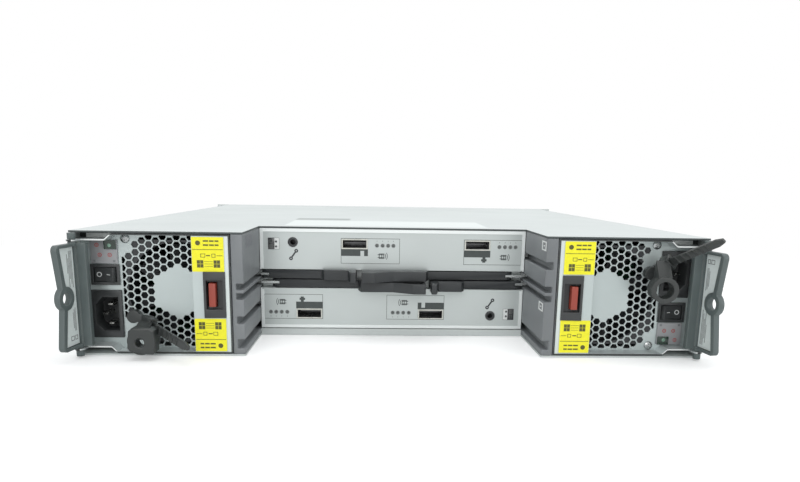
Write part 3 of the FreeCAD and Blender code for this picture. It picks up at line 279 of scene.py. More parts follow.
def makeSheetMetal(name, part=None):
    bright, dull, rough, metallic, edge = sheetMetals[name]
    tree, shader, coords = newMaterial(name)
    grain = noiseField(tree, coords, *sheetGrain["grain"])
    body = mottled(tree, coords, sheetGrain["cloud"], bright, dull)
    if edge:
        worn = edgeWear(tree, coords, edge, *sheetGrain["worn"])
        body = colourMix(tree, worn, body, sheetGrain["rub"])
    front = facing(tree, 1, *sheetGrain["outward"]) if part else None
    if part == "canister":  # painted highlight on the hem round the module's face
        body = colourMix(tree, front, body, edgeShadeAndHighlight["hemHighlight"])
    if part == "case":  # painted shade on the outer skin's front edges, painted highlight on the notch lips
        skin = edgeShadeAndHighlight["skin"]
        outer = inSpan(tree, coords, 2, caseLow.z + skin, caseHigh.z - skin)
        outer = combine(tree, "MULTIPLY", outer, beyond(tree, coords, -caseHigh.x + skin))
        hinge = beyond(tree, coords, -caseLow.x - edgeShadeAndHighlight["hinge"])
        outer = combine(tree, "SUBTRACT", outer, hinge)
        body = colourMix(tree, front, body, edgeShadeAndHighlight["outer"])
        body = colourMix(tree, combine(tree, "MULTIPLY", front, outer), body, edgeShadeAndHighlight["lip"])
    if part == "face":  # paler band on the latch strip's front, by the bay wall
        far = beyond(tree, coords, -stripHigh.x + edgeShadeAndHighlight["rimWide"])
        near = combine(tree, "SUBTRACT", 1.0, far)
        body = colourMix(tree, combine(tree, "MULTIPLY", front, near), body, edgeShadeAndHighlight["rim"])
    colourAndRough(tree, shader, body, grain, *rough)
    shader.inputs["Metallic"].default_value = metallic
    addBump(tree, shader, grain, *sheetGrain["bump"], edge * sheetGrain["round"])


# nickel cage of a data port: bright at its mouth, unlit inside
portCage = {"bright": (0.70, 0.71, 0.65), "rubbed": (0.52, 0.53, 0.48), "inside": (0.17, 0.175, 0.178),
            "mouth": (-0.3, 0.4), "rubNoise": (150, 4), "roughNoise": (80, 3), "rough": (0.24, 0.36),
            "metallic": 0.6}


def makePortCage():
    tree, shader, coords = newMaterial("nickelCage")
    scuffed = mottled(tree, coords, portCage["rubNoise"], portCage["bright"], portCage["rubbed"])
    start, end = ((moduleFaceY + depth) * mm for depth in portCage["mouth"])
    shade = spread(tree, along(tree, coords, 1), 0.0, 1.0, start, end)
    body = colourMix(tree, shade, scuffed, portCage["inside"])
    sheen = noiseField(tree, coords, *portCage["roughNoise"])
    colourAndRough(tree, shader, body, sheen, *portCage["rough"])
    shader.inputs["Metallic"].default_value = portCage["metallic"]


# moulded plastics: fine spark-eroded grain, rubbed paler along the edges;
# each has its colour, rubbed colour, roughness, grain and edge radius
mouldings = {
    "greyMoulding": ((0.168, 0.179, 0.187), (0.33, 0.34, 0.35), 0.46, 700, 0.0007),
    "darkMoulding": ((0.07, 0.072, 0.076), (0.14, 0.14, 0.15), 0.5, 700, 0.0004),
    "blackMoulding": ((0.036, 0.039, 0.040), (0.09, 0.095, 0.096), 0.42, 900, 0.0004),
    "blackNylon": ((0.034, 0.038, 0.037), (0.085, 0.09, 0.09), 0.38, 500, 0.0005),
    "leverMoulding": ((0.027, 0.030, 0.032), (0.085, 0.09, 0.092), 0.42, 800, 0.0006),
    "handleMoulding": ((0.088, 0.109, 0.108), (0.19, 0.215, 0.21), 0.48, 600, 0.0009),
    "lampPanel": ((0.295, 0.30, 0.31), (0.37, 0.37, 0.38), 0.40, 900, 0.0004),
    "redTab": ((0.29, 0.050, 0.032), (0.42, 0.12, 0.08), 0.36, 800, 0.0005),
    "fanMoulding": ((0.026, 0.028, 0.031), (0.06, 0.06, 0.065), 0.40, 800, 0.0005),
}
mouldGrain = {"cloud": (35, 4), "tint": 1.18, "wornRadius": 1.3, "worn": (0.75, 0.98, 0.8),
              "scuff": (70, 4), "scuffRough": (-0.06, 0.08), "detail": 2, "bump": (0.00004, 0.45)}


def makeMoulding(name):
    colour, rubbed, rough, grain, radius = mouldings[name]
    tree, shader, coords = newMaterial(name)
    body = mottled(tree, coords, mouldGrain["cloud"], colour, shaded(colour, mouldGrain["tint"]))
    worn = edgeWear(tree, coords, radius * mouldGrain["wornRadius"], *mouldGrain["worn"])
    body = colourMix(tree, worn, body, rubbed)
    scuff = noiseField(tree, coords, *mouldGrain["scuff"])
    colourAndRough(tree, shader, body, scuff, *(rough + more for more in mouldGrain["scuffRough"]))
    skin = noiseField(tree, coords, grain, mouldGrain["detail"])
    addBump(tree, shader, skin, *mouldGrain["bump"], radius)


# circuit boards: green lacquer over a fine brick of copper runs
boardLook = {"Color1": (0.02, 0.13, 0.06), "Color2": (0.025, 0.17, 0.075), "Mortar": (0.06, 0.26, 0.12),
             "scale": 90, "gap": 0.03, "noise": 40, "rough": (0.25, 0.4)}


def makeBoard():
    tree, shader, coords = newMaterial("circuitBoard")
    traces = tree.nodes.new("ShaderNodeTexBrick")
    traces.inputs["Scale"].default_value = boardLook["scale"]
    traces.inputs["Mortar Size"].default_value = boardLook["gap"]
    for socket in ("Color1", "Color2", "Mortar"):
        traces.inputs[socket].default_value = (*boardLook[socket], 1)
    tree.links.new(coords, traces.inputs["Vector"])
    sheen = noiseField(tree, coords, boardLook["noise"])
    colourAndRough(tree, shader, traces.outputs["Color"], sheen, *boardLook["rough"])


# printed films and inks: faint mottling over a smooth ground; colour and roughness
inks = {
    "palePlate": ((0.70, 0.76, 0.75), 0.42),
    "yellowFilm": ((0.93, 0.88, 0.022), 0.36),
    "greyInk": ((0.20, 0.21, 0.215), 0.5),
    "patchInk": ((0.062, 0.074, 0.072), 0.5),
    "darkInk": ((0.045, 0.048, 0.052), 0.5),
    "oliveInk": ((0.10, 0.098, 0.02), 0.5),
    "whiteInk": ((0.78, 0.80, 0.79), 0.45),
    "redInk": ((0.40, 0.085, 0.08), 0.5),
    "wallShade": ((0.150, 0.157, 0.172), 0.45),
}
inkGround = {"mottle": (420, 3), "deep": 0.93, "sheen": (-0.04, 0.05), "bump": (0.00001, 0.3)}


def makeInk(name):
    colour, rough = inks[name]
    tree, shader, coords = newMaterial(name)
    mottle = noiseField(tree, coords, *inkGround["mottle"])
    body = colourMix(tree, spread(tree, mottle, 0, 1), colour, shaded(colour, inkGround["deep"]))
    colourAndRough(tree, shader, body, mottle, *(rough + more for more in inkGround["sheen"]))
    addBump(tree, shader, mottle, *inkGround["bump"])


# small windows and lamp lenses: tinted, glossy, cloudy inside; colour and glow
lenses = {
    "displayWindow": ((0.030, 0.030, 0.033), 0.0),
    "smokedLens": ((0.095, 0.105, 0.10), 0.0),
    "greenWindow": ((0.010, 0.028, 0.018), 0.0),
    "paleGreenLamp": ((0.15, 0.27, 0.20), 0.02),
}
lensBody = {"cloud": (300, 2), "pale": 1.4, "rough": 0.14, "coat": 0.6}


def makeLens(name):
    colour, glow = lenses[name]
    tree, shader, coords = newMaterial(name)
    body = mottled(tree, coords, lensBody["cloud"], colour, shaded(colour, lensBody["pale"]))
    tree.links.new(body, shader.inputs["Base Color"])
    shader.inputs["Roughness"].default_value = lensBody["rough"]
    shader.inputs["Coat Weight"].default_value = lensBody["coat"]
    if glow:
        shader.inputs["Emission Color"].default_value = (*colour, 1)
        shader.inputs["Emission Strength"].default_value = glow


sheetPart = {"supplyCaseSteel": "case", "canisterSteel": "canister", "silverFacePaint": "face"}
for name in sheetMetals:
    makeSheetMetal(name, sheetPart.get(name))
for make, looks in ((makeMoulding, mouldings), (makeInk, inks), (makeLens, lenses)):
    for name in looks:
        make(name)
makeShelfPaint("silverShelfPaint")
makeShelfPaint("silverCoverPaint", True)
makePortCage()
makeBoard()

slotFinish = {"shelf_metal": "silverShelfPaint", "face_metal": "silverFacePaint",
              "plated_steel": "platedSteel", "screw_metal": "brightScrew", "port_metal": "nickelCage",
              "bay_plastic": "greyMoulding", "guide_plastic": "darkMoulding",
              "black_plastic": "blackMoulding", "strap_plastic": "blackNylon",
              "lever_plastic": "leverMoulding", "handle_plastic": "handleMoulding",
              "plate_plastic": "palePlate", "lamp_plastic": "lampPanel",
              "display_plastic": "displayWindow", "red_plastic": "redTab",
              "board_green": "circuitBoard", "fan_plastic": "fanMoulding"}
ownFinish = {"top_cover": "silverCoverPaint",
             "psu_left_case": "supplyCaseSteel", "psu_right_case": "supplyCaseSteel",
             "iom_upper_face": "moduleFacePaint", "iom_lower_face": "moduleFacePaint",
             "iom_upper_canister": "canisterSteel", "iom_lower_canister": "canisterSteel"}
slotOf = {entry["node"]: entry["material_slot"] for entry in frame["record"]["subparts"]}
for name, node in nodes.items():
    finish = ownFinish.get(name, slotFinish[slotOf[name]])
    node.data.materials.clear()
    node.data.materials.append(bpy.data.materials[finish])
print("stage 2: finishes on every node")


# pieces: small helpers that lay films, bars and rings on a surface
smoothAngle = math.radians(34)  # edges sharper than this stay crisp
filmSeat, fineLift, inkLift, filmLift = 0.01, 0.06, 0.08, 0.12  # height of a face above its surface
roundSides, smallSides, cornerSteps = 24, 16, 4


def addObject(name, data):
    item = bpy.data.objects.new(name, data)
    scene.collection.objects.link(item)
    return item


# finish is a material's name
def addPiece(name, mesh, finish, body, turn=None):
    if turn is not None:
        mesh.transform(turn)
    mesh.materials.clear()
    mesh.materials.append(bpy.data.materials[finish])
    piece = addObject(name, mesh)
    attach(piece, body)
    return piece


def smoothShade(mesh):
    for face in mesh.polygons:
        face.use_smooth = True
    mesh.set_sharp_from_angle(angle=smoothAngle)
    return mesh


def toMesh(name, shape, smooth=False):
    bmesh.ops.recalc_face_normals(shape, faces=shape.faces)
    mesh = bpy.data.meshes.new(name)
    shape.to_mesh(mesh)
    shape.free()
    return smoothShade(mesh) if smooth else mesh


def rectangle(left, right, low, high, corner=0.0):
    if corner == 0:
        return [(left, low), (right, low), (right, high), (left, high)]
    points = []
    for u, v, start in ((right - corner, low + corner, -90), (right - corner, high - corner, 0),
                        (left + corner, high - corner, 90), (left + corner, low + corner, 180)):
        for step in range(cornerSteps):
            angle = math.radians(start + 90 * step / (cornerSteps - 1))
            points.append((u + corner * math.cos(angle), v + corner * math.sin(angle)))
    return points


# the four edges of a box around a middle
def around(u, v, wide, tall):
    return u - wide / 2, u + wide / 2, v - tall / 2, v + tall / 2


def disk(u, v, radius, sides=roundSides):
    turns = [2 * math.pi * k / sides for k in range(sides)]
    return [(u + radius * math.cos(a), v + radius * math.sin(a)) for a in turns]


def stroke(start, end, width):
    run = Vector(end) - Vector(start)
    aside = Vector((-run.y, run.x)).normalized() * width / 2
    corners = (Vector(start) - aside, Vector(end) - aside, Vector(end) + aside, Vector(start) + aside)
    return [tuple(corner) for corner in corners]


# a surface is a function: surface(u, v, lift) gives the point that far outside it
def flatFront(y):
    return lambda u, v, lift: Vector((u, y - lift, v))


def ring(shape, outline, surface, lift):
    return [shape.verts.new(surface(u, v, lift) * mm) for u, v in outline]


# rings of points over one middle, one for each radius and lift of a profile
def stackDisks(shape, u, v, profile, surface, sides=roundSides):
    return [ring(shape, disk(u, v, radius, sides), surface, lift) for radius, lift in profile]


# walls from each ring to the next one, which has as many points
def joinRings(shape, levels):
    for lower, upper in zip(levels, levels[1:]):
        for k in range(len(lower)):
            shape.faces.new((lower[k - 1], lower[k], upper[k], upper[k - 1]))


def fillRings(shape, levels):
    joinRings(shape, levels)
    shape.faces.new(levels[-1])
    shape.faces.new(levels[0][::-1])


def layFilm(shape, outline, surface, lift=filmLift):
    fillRings(shape, [ring(shape, outline, surface, lift), ring(shape, outline, surface, filmSeat)])


# a printed line round an opening, between an outer and an inner outline
def layBand(shape, outer, inner, surface, lift=filmLift):
    edges = [ring(shape, outer, surface, lift), ring(shape, inner, surface, lift),
             ring(shape, inner, surface, filmSeat), ring(shape, outer, surface, filmSeat)]
    joinRings(shape, edges + edges[:1])


def layFrame(shape, left, right, low, high, width, surface, lift=filmLift):
    inner = rectangle(left + width, right - width, low + width, high - width)
    layBand(shape, rectangle(left, right, low, high), inner, surface, lift)


# a mesh of what a function lays in it, with the function's name
def meshFrom(lay, smooth=False):
    shape = bmesh.new()
    lay(shape)
    return toMesh(lay.__name__, shape, smooth)


def onSupplies(part, lay, finish, body="supply", smooth=False):
    for side, turn in supplySides:
        name = "psu_%s_%s" % (side, part)
        addPiece(name, meshFrom(lay, smooth), finish, "%s_%s" % (body, side), turn)


def onModules(part, lay, finish, smooth=False):
    for level, turn in moduleLevels:
        name = "iom_%s_%s" % (level, part)
        addPiece(name, meshFrom(lay, smooth), finish, "module_" + level, turn)


# moulded pieces with their edges rounded, each in place of its plain solid
softening = {"angle": 28, "flat": 1, "merge": 0.00001, "segments": 2,
             "supply": {"handle": 0.9, "strap": 0.35, "clamp": 0.45, "rocker": 0.4, "latch_housing": 0.35,
                        "latch_tab": 0.35, "inlet": 0.35, "switch_frame": 0.3, "lamp_panel": 0.25},
             "module": {"lever_long": 0.5, "lever_short": 0.5, "jack": 0.25, "display": 0.25},
             "wall": 0.8}


def soften(node, width):
    source = nodes[node]
    mesh = source.data.copy()
    piece = addObject(node + ".soft", mesh)
    shape = bmesh.new()
    shape.from_mesh(mesh)
    bmesh.ops.remove_doubles(shape, verts=shape.verts, dist=softening["merge"])
    flat = math.radians(softening["flat"])
    bmesh.ops.dissolve_limit(shape, angle_limit=flat, verts=shape.verts, edges=shape.edges)
    shape.to_mesh(mesh)
    shape.free()
    for face in mesh.polygons:
        face.use_smooth = True
    bevel = piece.modifiers.new("roundEdges", "BEVEL")
    bevel.width = width * mm
    bevel.segments = softening["segments"]
    bevel.limit_method = "ANGLE"
    bevel.angle_limit = math.radians(softening["angle"])
    bevel.harden_normals = True
    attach(piece, source["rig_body"])
    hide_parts(node)


for side, turn in supplySides:
    for part, width in softening["supply"].items():
        soften("psu_%s_%s" % (side, part), width)
    soften("bay_wall_" + side, softening["wall"])
for level, turn in moduleLevels:
    for part, width in softening["module"].items():
        soften("iom_%s_%s" % (level, part), width)
print("stage 3: moulded edges rounded")


# yellow films on the latch strip, with plain bars, rules, boxes and a round dot only
stripFilm = {"strip": 25.2, "wide": 22.0, "fromEdge": 0.2, "upper": (60.3, 84.4), "lower": (3.3, 26.9),
             "corner": 0.5, "line": 0.34, "inkSeat": 0.1}
# across from a film's outer side, and down from its top on the upper film
stripMarks = {"captions": ((8.0, 11.6), (12.2, 15.4), (16.0, 18.6)), "captionDrops": (2.7, 5.5),
              "captionLine": 1.0, "dot": (4.4, 4.1, 1.7), "longRule": (0.6, 8.6), "boxDrop": 12.8,
              "boxes": ((7.6, 3.2), (14.9, 2.6)), "boxTall": 2.6, "link": (9.8, 12.6, 0.7),
              "tail": (17.0, 1.0), "squareDrop": 18.6, "squares": (5.6, 17.0), "squareSize": (4.6, 5.4),
              "quarter": (0.25, 0.45), "fineRule": (8.4, 14.2, 0.2), "fineStep": 1.7}
stripLeft = stripHigh.x - stripFilm["strip"] + stripFilm["fromEdge"]
stripFront = flatFront(stripLow.y)
filmTop = flatFront(stripLow.y - stripFilm["inkSeat"])


def stripFilms(shape):
    right = stripLeft + stripFilm["wide"]
    for low, high in (stripFilm["upper"], stripFilm["lower"]):
        layFilm(shape, rectangle(stripLeft, right, low, high, stripFilm["corner"]), stripFront)


# one film's marks: down is -1 on the upper film and 1 on the lower one, which is turned half a turn
def stripRules(shape, top, down):
    wide = stripFilm["wide"]
    middle = stripLeft + wide / 2
    line = stripFilm["line"]

    def across(u):
        return middle + down * (wide / 2 - u)

    def rule(start, end, level, width):
        layFilm(shape, stroke((across(start), level), (across(end), level), width), filmTop)

    for drop in stripMarks["captionDrops"]:
        for start, end in stripMarks["captions"]:
            rule(start, end, top + down * drop, stripMarks["captionLine"])
    place, drop, radius = stripMarks["dot"]
    layFilm(shape, disk(across(place), top + down * drop, radius), filmTop)
    margin, drop = stripMarks["longRule"]
    rule(margin, wide - margin, top + down * drop, line)
    level = top + down * stripMarks["boxDrop"]
    for place, boxWide in stripMarks["boxes"]:
        layFrame(shape, *around(across(place), level, boxWide, stripMarks["boxTall"]), line, filmTop)
    start, end, width = stripMarks["link"]
    rule(start, end, level, width)
    start, margin = stripMarks["tail"]
    rule(start, wide - margin, level, line)
    level = top + down * stripMarks["squareDrop"]
    squareWide, squareTall = stripMarks["squareSize"]
    off, share = stripMarks["quarter"]
    for place in stripMarks["squares"]:
        for a in (-off, off):
            for b in (-off, off):
                u, v = across(place) + a * squareWide, level + b * squareTall
                layFilm(shape, rectangle(*around(u, v, share * squareWide, share * squareTall)), filmTop)
    start, end, width = stripMarks["fineRule"]
    for k in (-1, 0, 1):
        rule(start, end, level + k * stripMarks["fineStep"], width)


def stripInk(shape):
    stripRules(shape, stripFilm["upper"][1], -1)
    stripRules(shape, stripFilm["lower"][0], 1)


onSupplies("strip_films", stripFilms, "yellowFilm")
onSupplies("strip_ink", stripInk, "oliveInk")


# lamp panel: green window with its lamp, red rings, two small grey squares
lampSet = {"window": (9.0, 6.6), "windowRise": 0.7, "inset": 0.2, "corner": 0.4, "lamp": (-0.6, -0.4, 1.4),
           "lens": ((1.0, 0.1), (0.9, 0.3), (0.6, 0.42)), "ring": (1.45, 0.5), "tick": (0.5, 0.45),
           "rings": ((4.7, 13.0), (6.4, 6.0), (13.3, 6.0)), "dots": ((2.6, 1.7), (16.2, 1.7)),
           "dotSize": 1.5}
panelLow, panelHigh = boxOf("psu_left_lamp_panel")
panelFront = flatFront(panelLow.y + lampSet["windowRise"])
windowFront = flatFront(panelLow.y)


def lampWindow(shape):
    wide, tall = lampSet["window"]
    inset = lampSet["inset"]
    right, top = panelHigh.x - inset, panelHigh.z - inset
    left, low = panelHigh.x + inset - wide, panelHigh.z + inset - tall
    layFilm(shape, rectangle(left, right, low, top, lampSet["corner"]), windowFront)


def lampLens(shape):
    wide, tall = lampSet["window"]
    across, up, radius = lampSet["lamp"]
    u, v = panelHigh.x - wide / 2 + across, panelHigh.z - tall / 2 + up
    profile = [(radius * share, lift) for share, lift in lampSet["lens"]]
    fillRings(shape, stackDisks(shape, u, v, profile, windowFront))


def lampRings(shape):
    radius, line = lampSet["ring"]
    reach, width = lampSet["tick"]
    for across, up in lampSet["rings"]:
        u, v = panelLow.x + across, panelLow.z + up
        layBand(shape, disk(u, v, radius), disk(u, v, radius - line), panelFront)
        layFilm(shape, stroke((u, v - reach), (u, v + reach), width), panelFront)


def lampDots(shape):
    size = lampSet["dotSize"]
    for across, up in lampSet["dots"]:
        layFilm(shape, rectangle(*around(panelLow.x + across, panelLow.z + up, size, size)), panelFront)


onSupplies("lamp_window", lampWindow, "greenWindow")
onSupplies("lamp_lens", lampLens, "paleGreenLamp", smooth=True)
onSupplies("lamp_rings", lampRings, "redInk")
onSupplies("lamp_dots", lampDots, "greyInk")


# a tilted node as a surface: start(u, v) is a place well outside it, and aim looks at it from there
def ontoNode(node, start, aim):
    shape = bmesh.new()
    shape.from_mesh(nodes[node].data)
    tree = BVHTree.FromBMesh(shape)
    shape.free()

    def place(u, v, lift):
        hit = tree.ray_cast(start(u, v) * mm, aim)[0]
        return hit / mm - aim * lift
    return place


# rocker: white ring and bar laid on its two tilted flats
rockerSet = {"ring": (-4.2, 1.75), "bar": (1.3, 4.1), "line": 0.5, "away": 10}
rockerLow, rockerHigh = boxOf("psu_left_rocker")


def rockerMarks(shape):
    away = rockerLow.y - rockerSet["away"]
    surface = ontoNode("psu_left_rocker", lambda u, v: Vector((u, away, v)), Vector((0, 1, 0)))
    middle = (rockerLow.x + rockerHigh.x) / 2
    level = (rockerLow.z + rockerHigh.z) / 2
    line = rockerSet["line"]
    across, radius = rockerSet["ring"]
    outer, inner = (disk(middle + across, level, reach) for reach in (radius, radius - line))
    layBand(shape, outer, inner, surface, inkLift)
    first, last = (middle + end for end in rockerSet["bar"])
    layFilm(shape, stroke((first, level), (last, level), line), surface, inkLift)


onSupplies("rocker_marks", rockerMarks, "whiteInk", "rocker")


# inlet: bright sleeves over the three flat pins, tapered at their tips
pinSet = {"places": ((2.0, 7.0), (2.0, -7.0), (-2.0, 0.0)), "size": (4.1, 2.1), "taper": 0.5,
          "depths": (1.3, 2.1, 11.9)}
inletLow, inletHigh = boxOf("psu_left_inlet")


def inletPins(shape):
    middle = (inletLow.x + inletHigh.x) / 2
    level = (inletLow.z + inletHigh.z) / 2
    wide, tall = pinSet["size"]
    surface = flatFront(inletLow.y)
    for across, up in pinSet["places"]:
        full, nose = (rectangle(*around(middle + across, level + up, wide - less, tall - less))
                      for less in (0, 2 * pinSet["taper"]))
        fillRings(shape, [ring(shape, outline, surface, -depth)
                          for outline, depth in zip((nose, full, full), pinSet["depths"])])


onSupplies("inlet_pins", inletPins, "nickelPin")


# handle plate: fine upright rules and two small boxes, no lettering
plateSet = {"line": 0.5, "away": 20,
            "columns": ((2.2, 50.0, 75.0), (3.4, 52.5, 75.0), (4.6, 56.0, 75.0), (5.8, 50.5, 70.0),
                        (7.0, 60.0, 73.0), (2.4, 20.0, 36.0), (3.6, 20.0, 35.0), (4.8, 22.0, 33.0)),
            "boxes": ((3.1, 15.4, 2.8, 3.2), (7.2, 15.4, 3.8, 3.2))}
plateHigh = boxOf("psu_left_label_plate")[1]


def plateRules(shape):
    away = plateHigh.x + plateSet["away"]
    surface = ontoNode("psu_left_label_plate", lambda u, v: Vector((away, u, v)), Vector((-1, 0, 0)))
    line = plateSet["line"]
    for fromRoot, low, high in plateSet["columns"]:
        y = plateHigh.y - fromRoot
        layFilm(shape, stroke((y, low), (y, high), line), surface, inkLift)
    for fromRoot, level, wide, tall in plateSet["boxes"]:
        layFrame(shape, *around(plateHigh.y - fromRoot, level, wide, tall), line, surface, inkLift)


onSupplies("plate_rules", plateRules, "greyInk", "handle")


# left clamp: its jaws stand closed, a squarish block with a small eye, over the plain ring
jawSet = {"ringX": -173.7, "ringRise": 9.2, "eye": (-1.3, -0.6, 3.1), "steps": 4,
          "corners": ((9.4, -1.0), (8.6, 8.0), (5.4, 9.6), (-6.4, 9.6), (-8.8, 7.4), (-10.0, -4.4),
                      (-8.4, -6.8), (3.4, -8.7), (7.2, -8.7), (8.6, -7.4)),
          "outside": ((1.0, 9.0), (1.0, 0.9), (0.93, 0.0)),
          "inside": ((1.25, 0.0), (1.0, 0.6), (1.0, 9.0))}
clampLow = boxOf("psu_left_clamp")[0]


def clampJaws(shape):
    surface = flatFront(clampLow.y)
    across, up, radius = jawSet["eye"]
    eye = Vector((across, up))
    ringMiddle = Vector((jawSet["ringX"], clampLow.z + jawSet["ringRise"]))
    corners = [Vector(corner) for corner in jawSet["corners"]]
    rim = [a.lerp(b, k / jawSet["steps"]) for a, b in zip(corners, corners[1:] + corners[:1])
           for k in range(jawSet["steps"])]
    bore = [eye + (point - eye).normalized() * radius for point in rim]
    levels = []
    for points, loops in ((rim, jawSet["outside"]), (bore, jawSet["inside"])):
        for share, depth in loops:
            outline = [ringMiddle + eye + (point - eye) * share for point in points]
            levels.append(ring(shape, outline, surface, -depth))
    joinRings(shape, levels + levels[:1])


addPiece("psu_left_clamp_jaws", meshFrom(clampJaws, True), "blackNylon", "clamp_left")


# corner screws: domed heads with a cross recess, in place of the plain heads
screwSet = {"profile": ((3.2, 0.0), (3.2, 0.4), (2.95, 0.85), (2.3, 1.25), (1.4, 1.5), (0.5, 1.58)),
            "head": 1.6, "cross": (0.75, 3.4), "cut": (2.4, 0.68), "sides": 32}


def takeAway(shape, cutter):
    items = [addObject(name, toMesh(name, solid))
             for name, solid in (("screwDome", shape), ("screwCross", cutter))]
    cut = items[0].modifiers.new("cut", "BOOLEAN")
    cut.object = items[1]
    graph = bpy.context.evaluated_depsgraph_get()
    mesh = bpy.data.meshes.new_from_object(items[0].evaluated_get(graph))
    for item in items:
        bpy.data.objects.remove(item)
    return mesh


def crossOutline(half, long):
    return [(half, half), (half, long), (-half, long), (-half, half), (-long, half), (-long, -half),
            (-half, -half), (-half, -long), (half, -long), (half, -half), (long, -half), (long, half)]


def cornerScrews():
    low, high = boxOf("psu_left_screws")
    u = (low.x + high.x) / 2
    plate = flatFront(low.y + screwSet["head"])  # the face, behind the heads
    radius = screwSet["profile"][0][0]
    width, length = screwSet["cross"]
    domes = bmesh.new()
    crosses = bmesh.new()
    for v in (low.z + radius, high.z - radius):
        fillRings(domes, stackDisks(domes, u, v, screwSet["profile"], plate, screwSet["sides"]))
        arms = [(u + a, v + b) for a, b in crossOutline(width / 2, length / 2)]
        fillRings(crosses, [ring(crosses, arms, plate, lift) for lift in screwSet["cut"]])
    return smoothShade(takeAway(domes, crosses))


for side, turn in supplySides:
    name = "psu_%s_domed_screws" % side
    heads = addPiece(name, cornerScrews(), "brightScrew", "supply_" + side, turn)
    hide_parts("psu_%s_screws" % side)
print("stage 4: supply faces dressed")


# I/O module faces: ports at two places, everything else set from them
portSet = {"middles": (-31.0, 67.4), "lamps": (17.8, 22.3, 26.7, 30.9), "lampLevel": 73.6,
           "lens": ((1.1, -1.0), (1.1, 0.0), (0.77, 0.22)), "halo": (1.62, 1.22),
           "tick": (3.0, 4.0, 0.35), "frame": (-10.9, 36.0, 59.0, 79.2), "frameLine": 0.3}
# plain dark patches by each port: left, right, low, high and lift
portPatch = (((-10.6, 4.6, 65.1, 70.5, 0.12), (4.6, 7.6, 69.3, 70.5, 0.12), (7.6, 10.6, 65.1, 70.5, 0.12)),
             ((-10.6, 10.6, 65.1, 70.5, 0.12), (4.4, 6.8, 60.9, 65.1, 0.12), (3.4, 7.8, 61.9, 63.7, 0.1)))
# link sign: a box with two leads, a bar and two arcs
portSign = {"place": (21.5, 65.2), "size": 4.2, "line": 0.55, "leads": (-1.1, 1.1), "leadLong": 1.0,
            "leadLift": 0.1, "bar": 0.2, "barLift": 0.11, "arcs": (3.2, 4.6), "arcBack": 2.0,
            "arcTurns": (-36, -18, 0, 18, 36), "arcShare": 0.8}
moduleFront = flatFront(moduleFaceY)


def portPatches(shape):
    for middle, patches in zip(portSet["middles"], portPatch):
        for left, right, low, high, lift in patches:
            layFilm(shape, rectangle(middle + left, middle + right, low, high), moduleFront, lift)


def portLines(shape):
    left, right, low, high = portSet["frame"]
    for middle in portSet["middles"]:
        edges = (middle + left, middle + right, low, high)
        layFrame(shape, *edges, portSet["frameLine"], moduleFront, inkLift)


def portIcons(shape):
    across, level = portSign["place"]
    size, line, lead = portSign["size"], portSign["line"], portSign["leadLong"]
    for middle in portSet["middles"]:
        u = middle + across
        left, right, low, high = around(u, level, size, size)
        layFrame(shape, left, right, low, high, line, moduleFront)
        for rise in portSign["leads"]:
            v = level + rise
            layFilm(shape, stroke((left - lead, v), (right, v), line), moduleFront, portSign["leadLift"])
        bar = u + portSign["bar"]
        layFilm(shape, stroke((bar, low), (bar, high), line), moduleFront, portSign["barLift"])
        for reach in portSign["arcs"]:
            arc = [(right - portSign["arcBack"] + reach * math.cos(a), level + reach * math.sin(a))
                   for a in map(math.radians, portSign["arcTurns"])]
            for start, end in zip(arc, arc[1:]):
                layFilm(shape, stroke(start, end, line * portSign["arcShare"]), moduleFront)


lampPlaces = [(middle + across, portSet["lampLevel"])
              for middle in portSet["middles"] for across in portSet["lamps"]]


def portTicks(shape):
    low, high, width = portSet["tick"]
    for u, v in lampPlaces:
        layFilm(shape, stroke((u, v + low), (u, v + high), width), moduleFront, fineLift)


def portHalos(shape):
    outer, inner = portSet["halo"]
    for u, v in lampPlaces:
        layBand(shape, disk(u, v, outer), disk(u, v, inner), moduleFront, fineLift)


def portLenses(shape):
    for u, v in lampPlaces:
        fillRings(shape, stackDisks(shape, u, v, portSet["lens"], moduleFront, smallSides))


onModules("port_patches", portPatches, "patchInk")
onModules("port_lines", portLines, "patchInk")
onModules("port_icons", portIcons, "patchInk")
onModules("port_ticks", portTicks, "greyInk")
onModules("port_halos", portHalos, "greyInk")
onModules("port_lenses", portLenses, "smokedLens", smooth=True)


# service jack: a thin washer round it and a spanner mark below
jackSet = {"washer": (4.0, 3.45), "washerLift": 0.3, "spanner": (0.5, -9.9), "length": 7.4, "angle": 55.0,
           "line": 1.2, "shorter": 0.2, "end": (1.5, 0.5)}
jackLow, jackHigh = boxOf("iom_upper_jack")
jackMiddle = (jackLow + jackHigh) / 2


def spannerMark(shape):
    across, up = jackSet["spanner"]
    middle = Vector((jackMiddle.x + across, jackMiddle.z + up))
    angle = math.radians(jackSet["angle"])
    half = Vector((math.cos(angle), math.sin(angle))) * jackSet["length"] / 2
    first, last = middle - half, middle + half
    share = jackSet["shorter"]
    layFilm(shape, stroke(first.lerp(last, share), last.lerp(first, share), jackSet["line"]), moduleFront)
    for u, v in (first, last):
        outer, inner = (disk(u, v, radius, smallSides) for radius in jackSet["end"])
        layBand(shape, outer, inner, moduleFront)


def jackWasher(shape):
    outer, inner = (disk(jackMiddle.x, jackMiddle.z, radius) for radius in jackSet["washer"])
    layBand(shape, outer, inner, moduleFront, jackSet["washerLift"])


onModules("spanner_mark", spannerMark, "darkInk")
onModules("jack_washer", jackWasher, "darkMoulding")


# display: pale tile beside the dark window, with two small dots
displaySet = {"tile": (0.1, 4.1), "corner": 0.3, "dots": (1.6, -2.3), "dotAcross": 1.5, "dot": 0.85,
              "edge": (0.18, 0.05), "cell": (2.4, 2.6), "cellIn": 2.7, "cellLine": 0.3,
              "cellLifts": (0.03, 0.035)}
displayLow, displayHigh = boxOf("iom_upper_display")
tileLeft, tileRight = (displayHigh.x + side for side in displaySet["tile"])


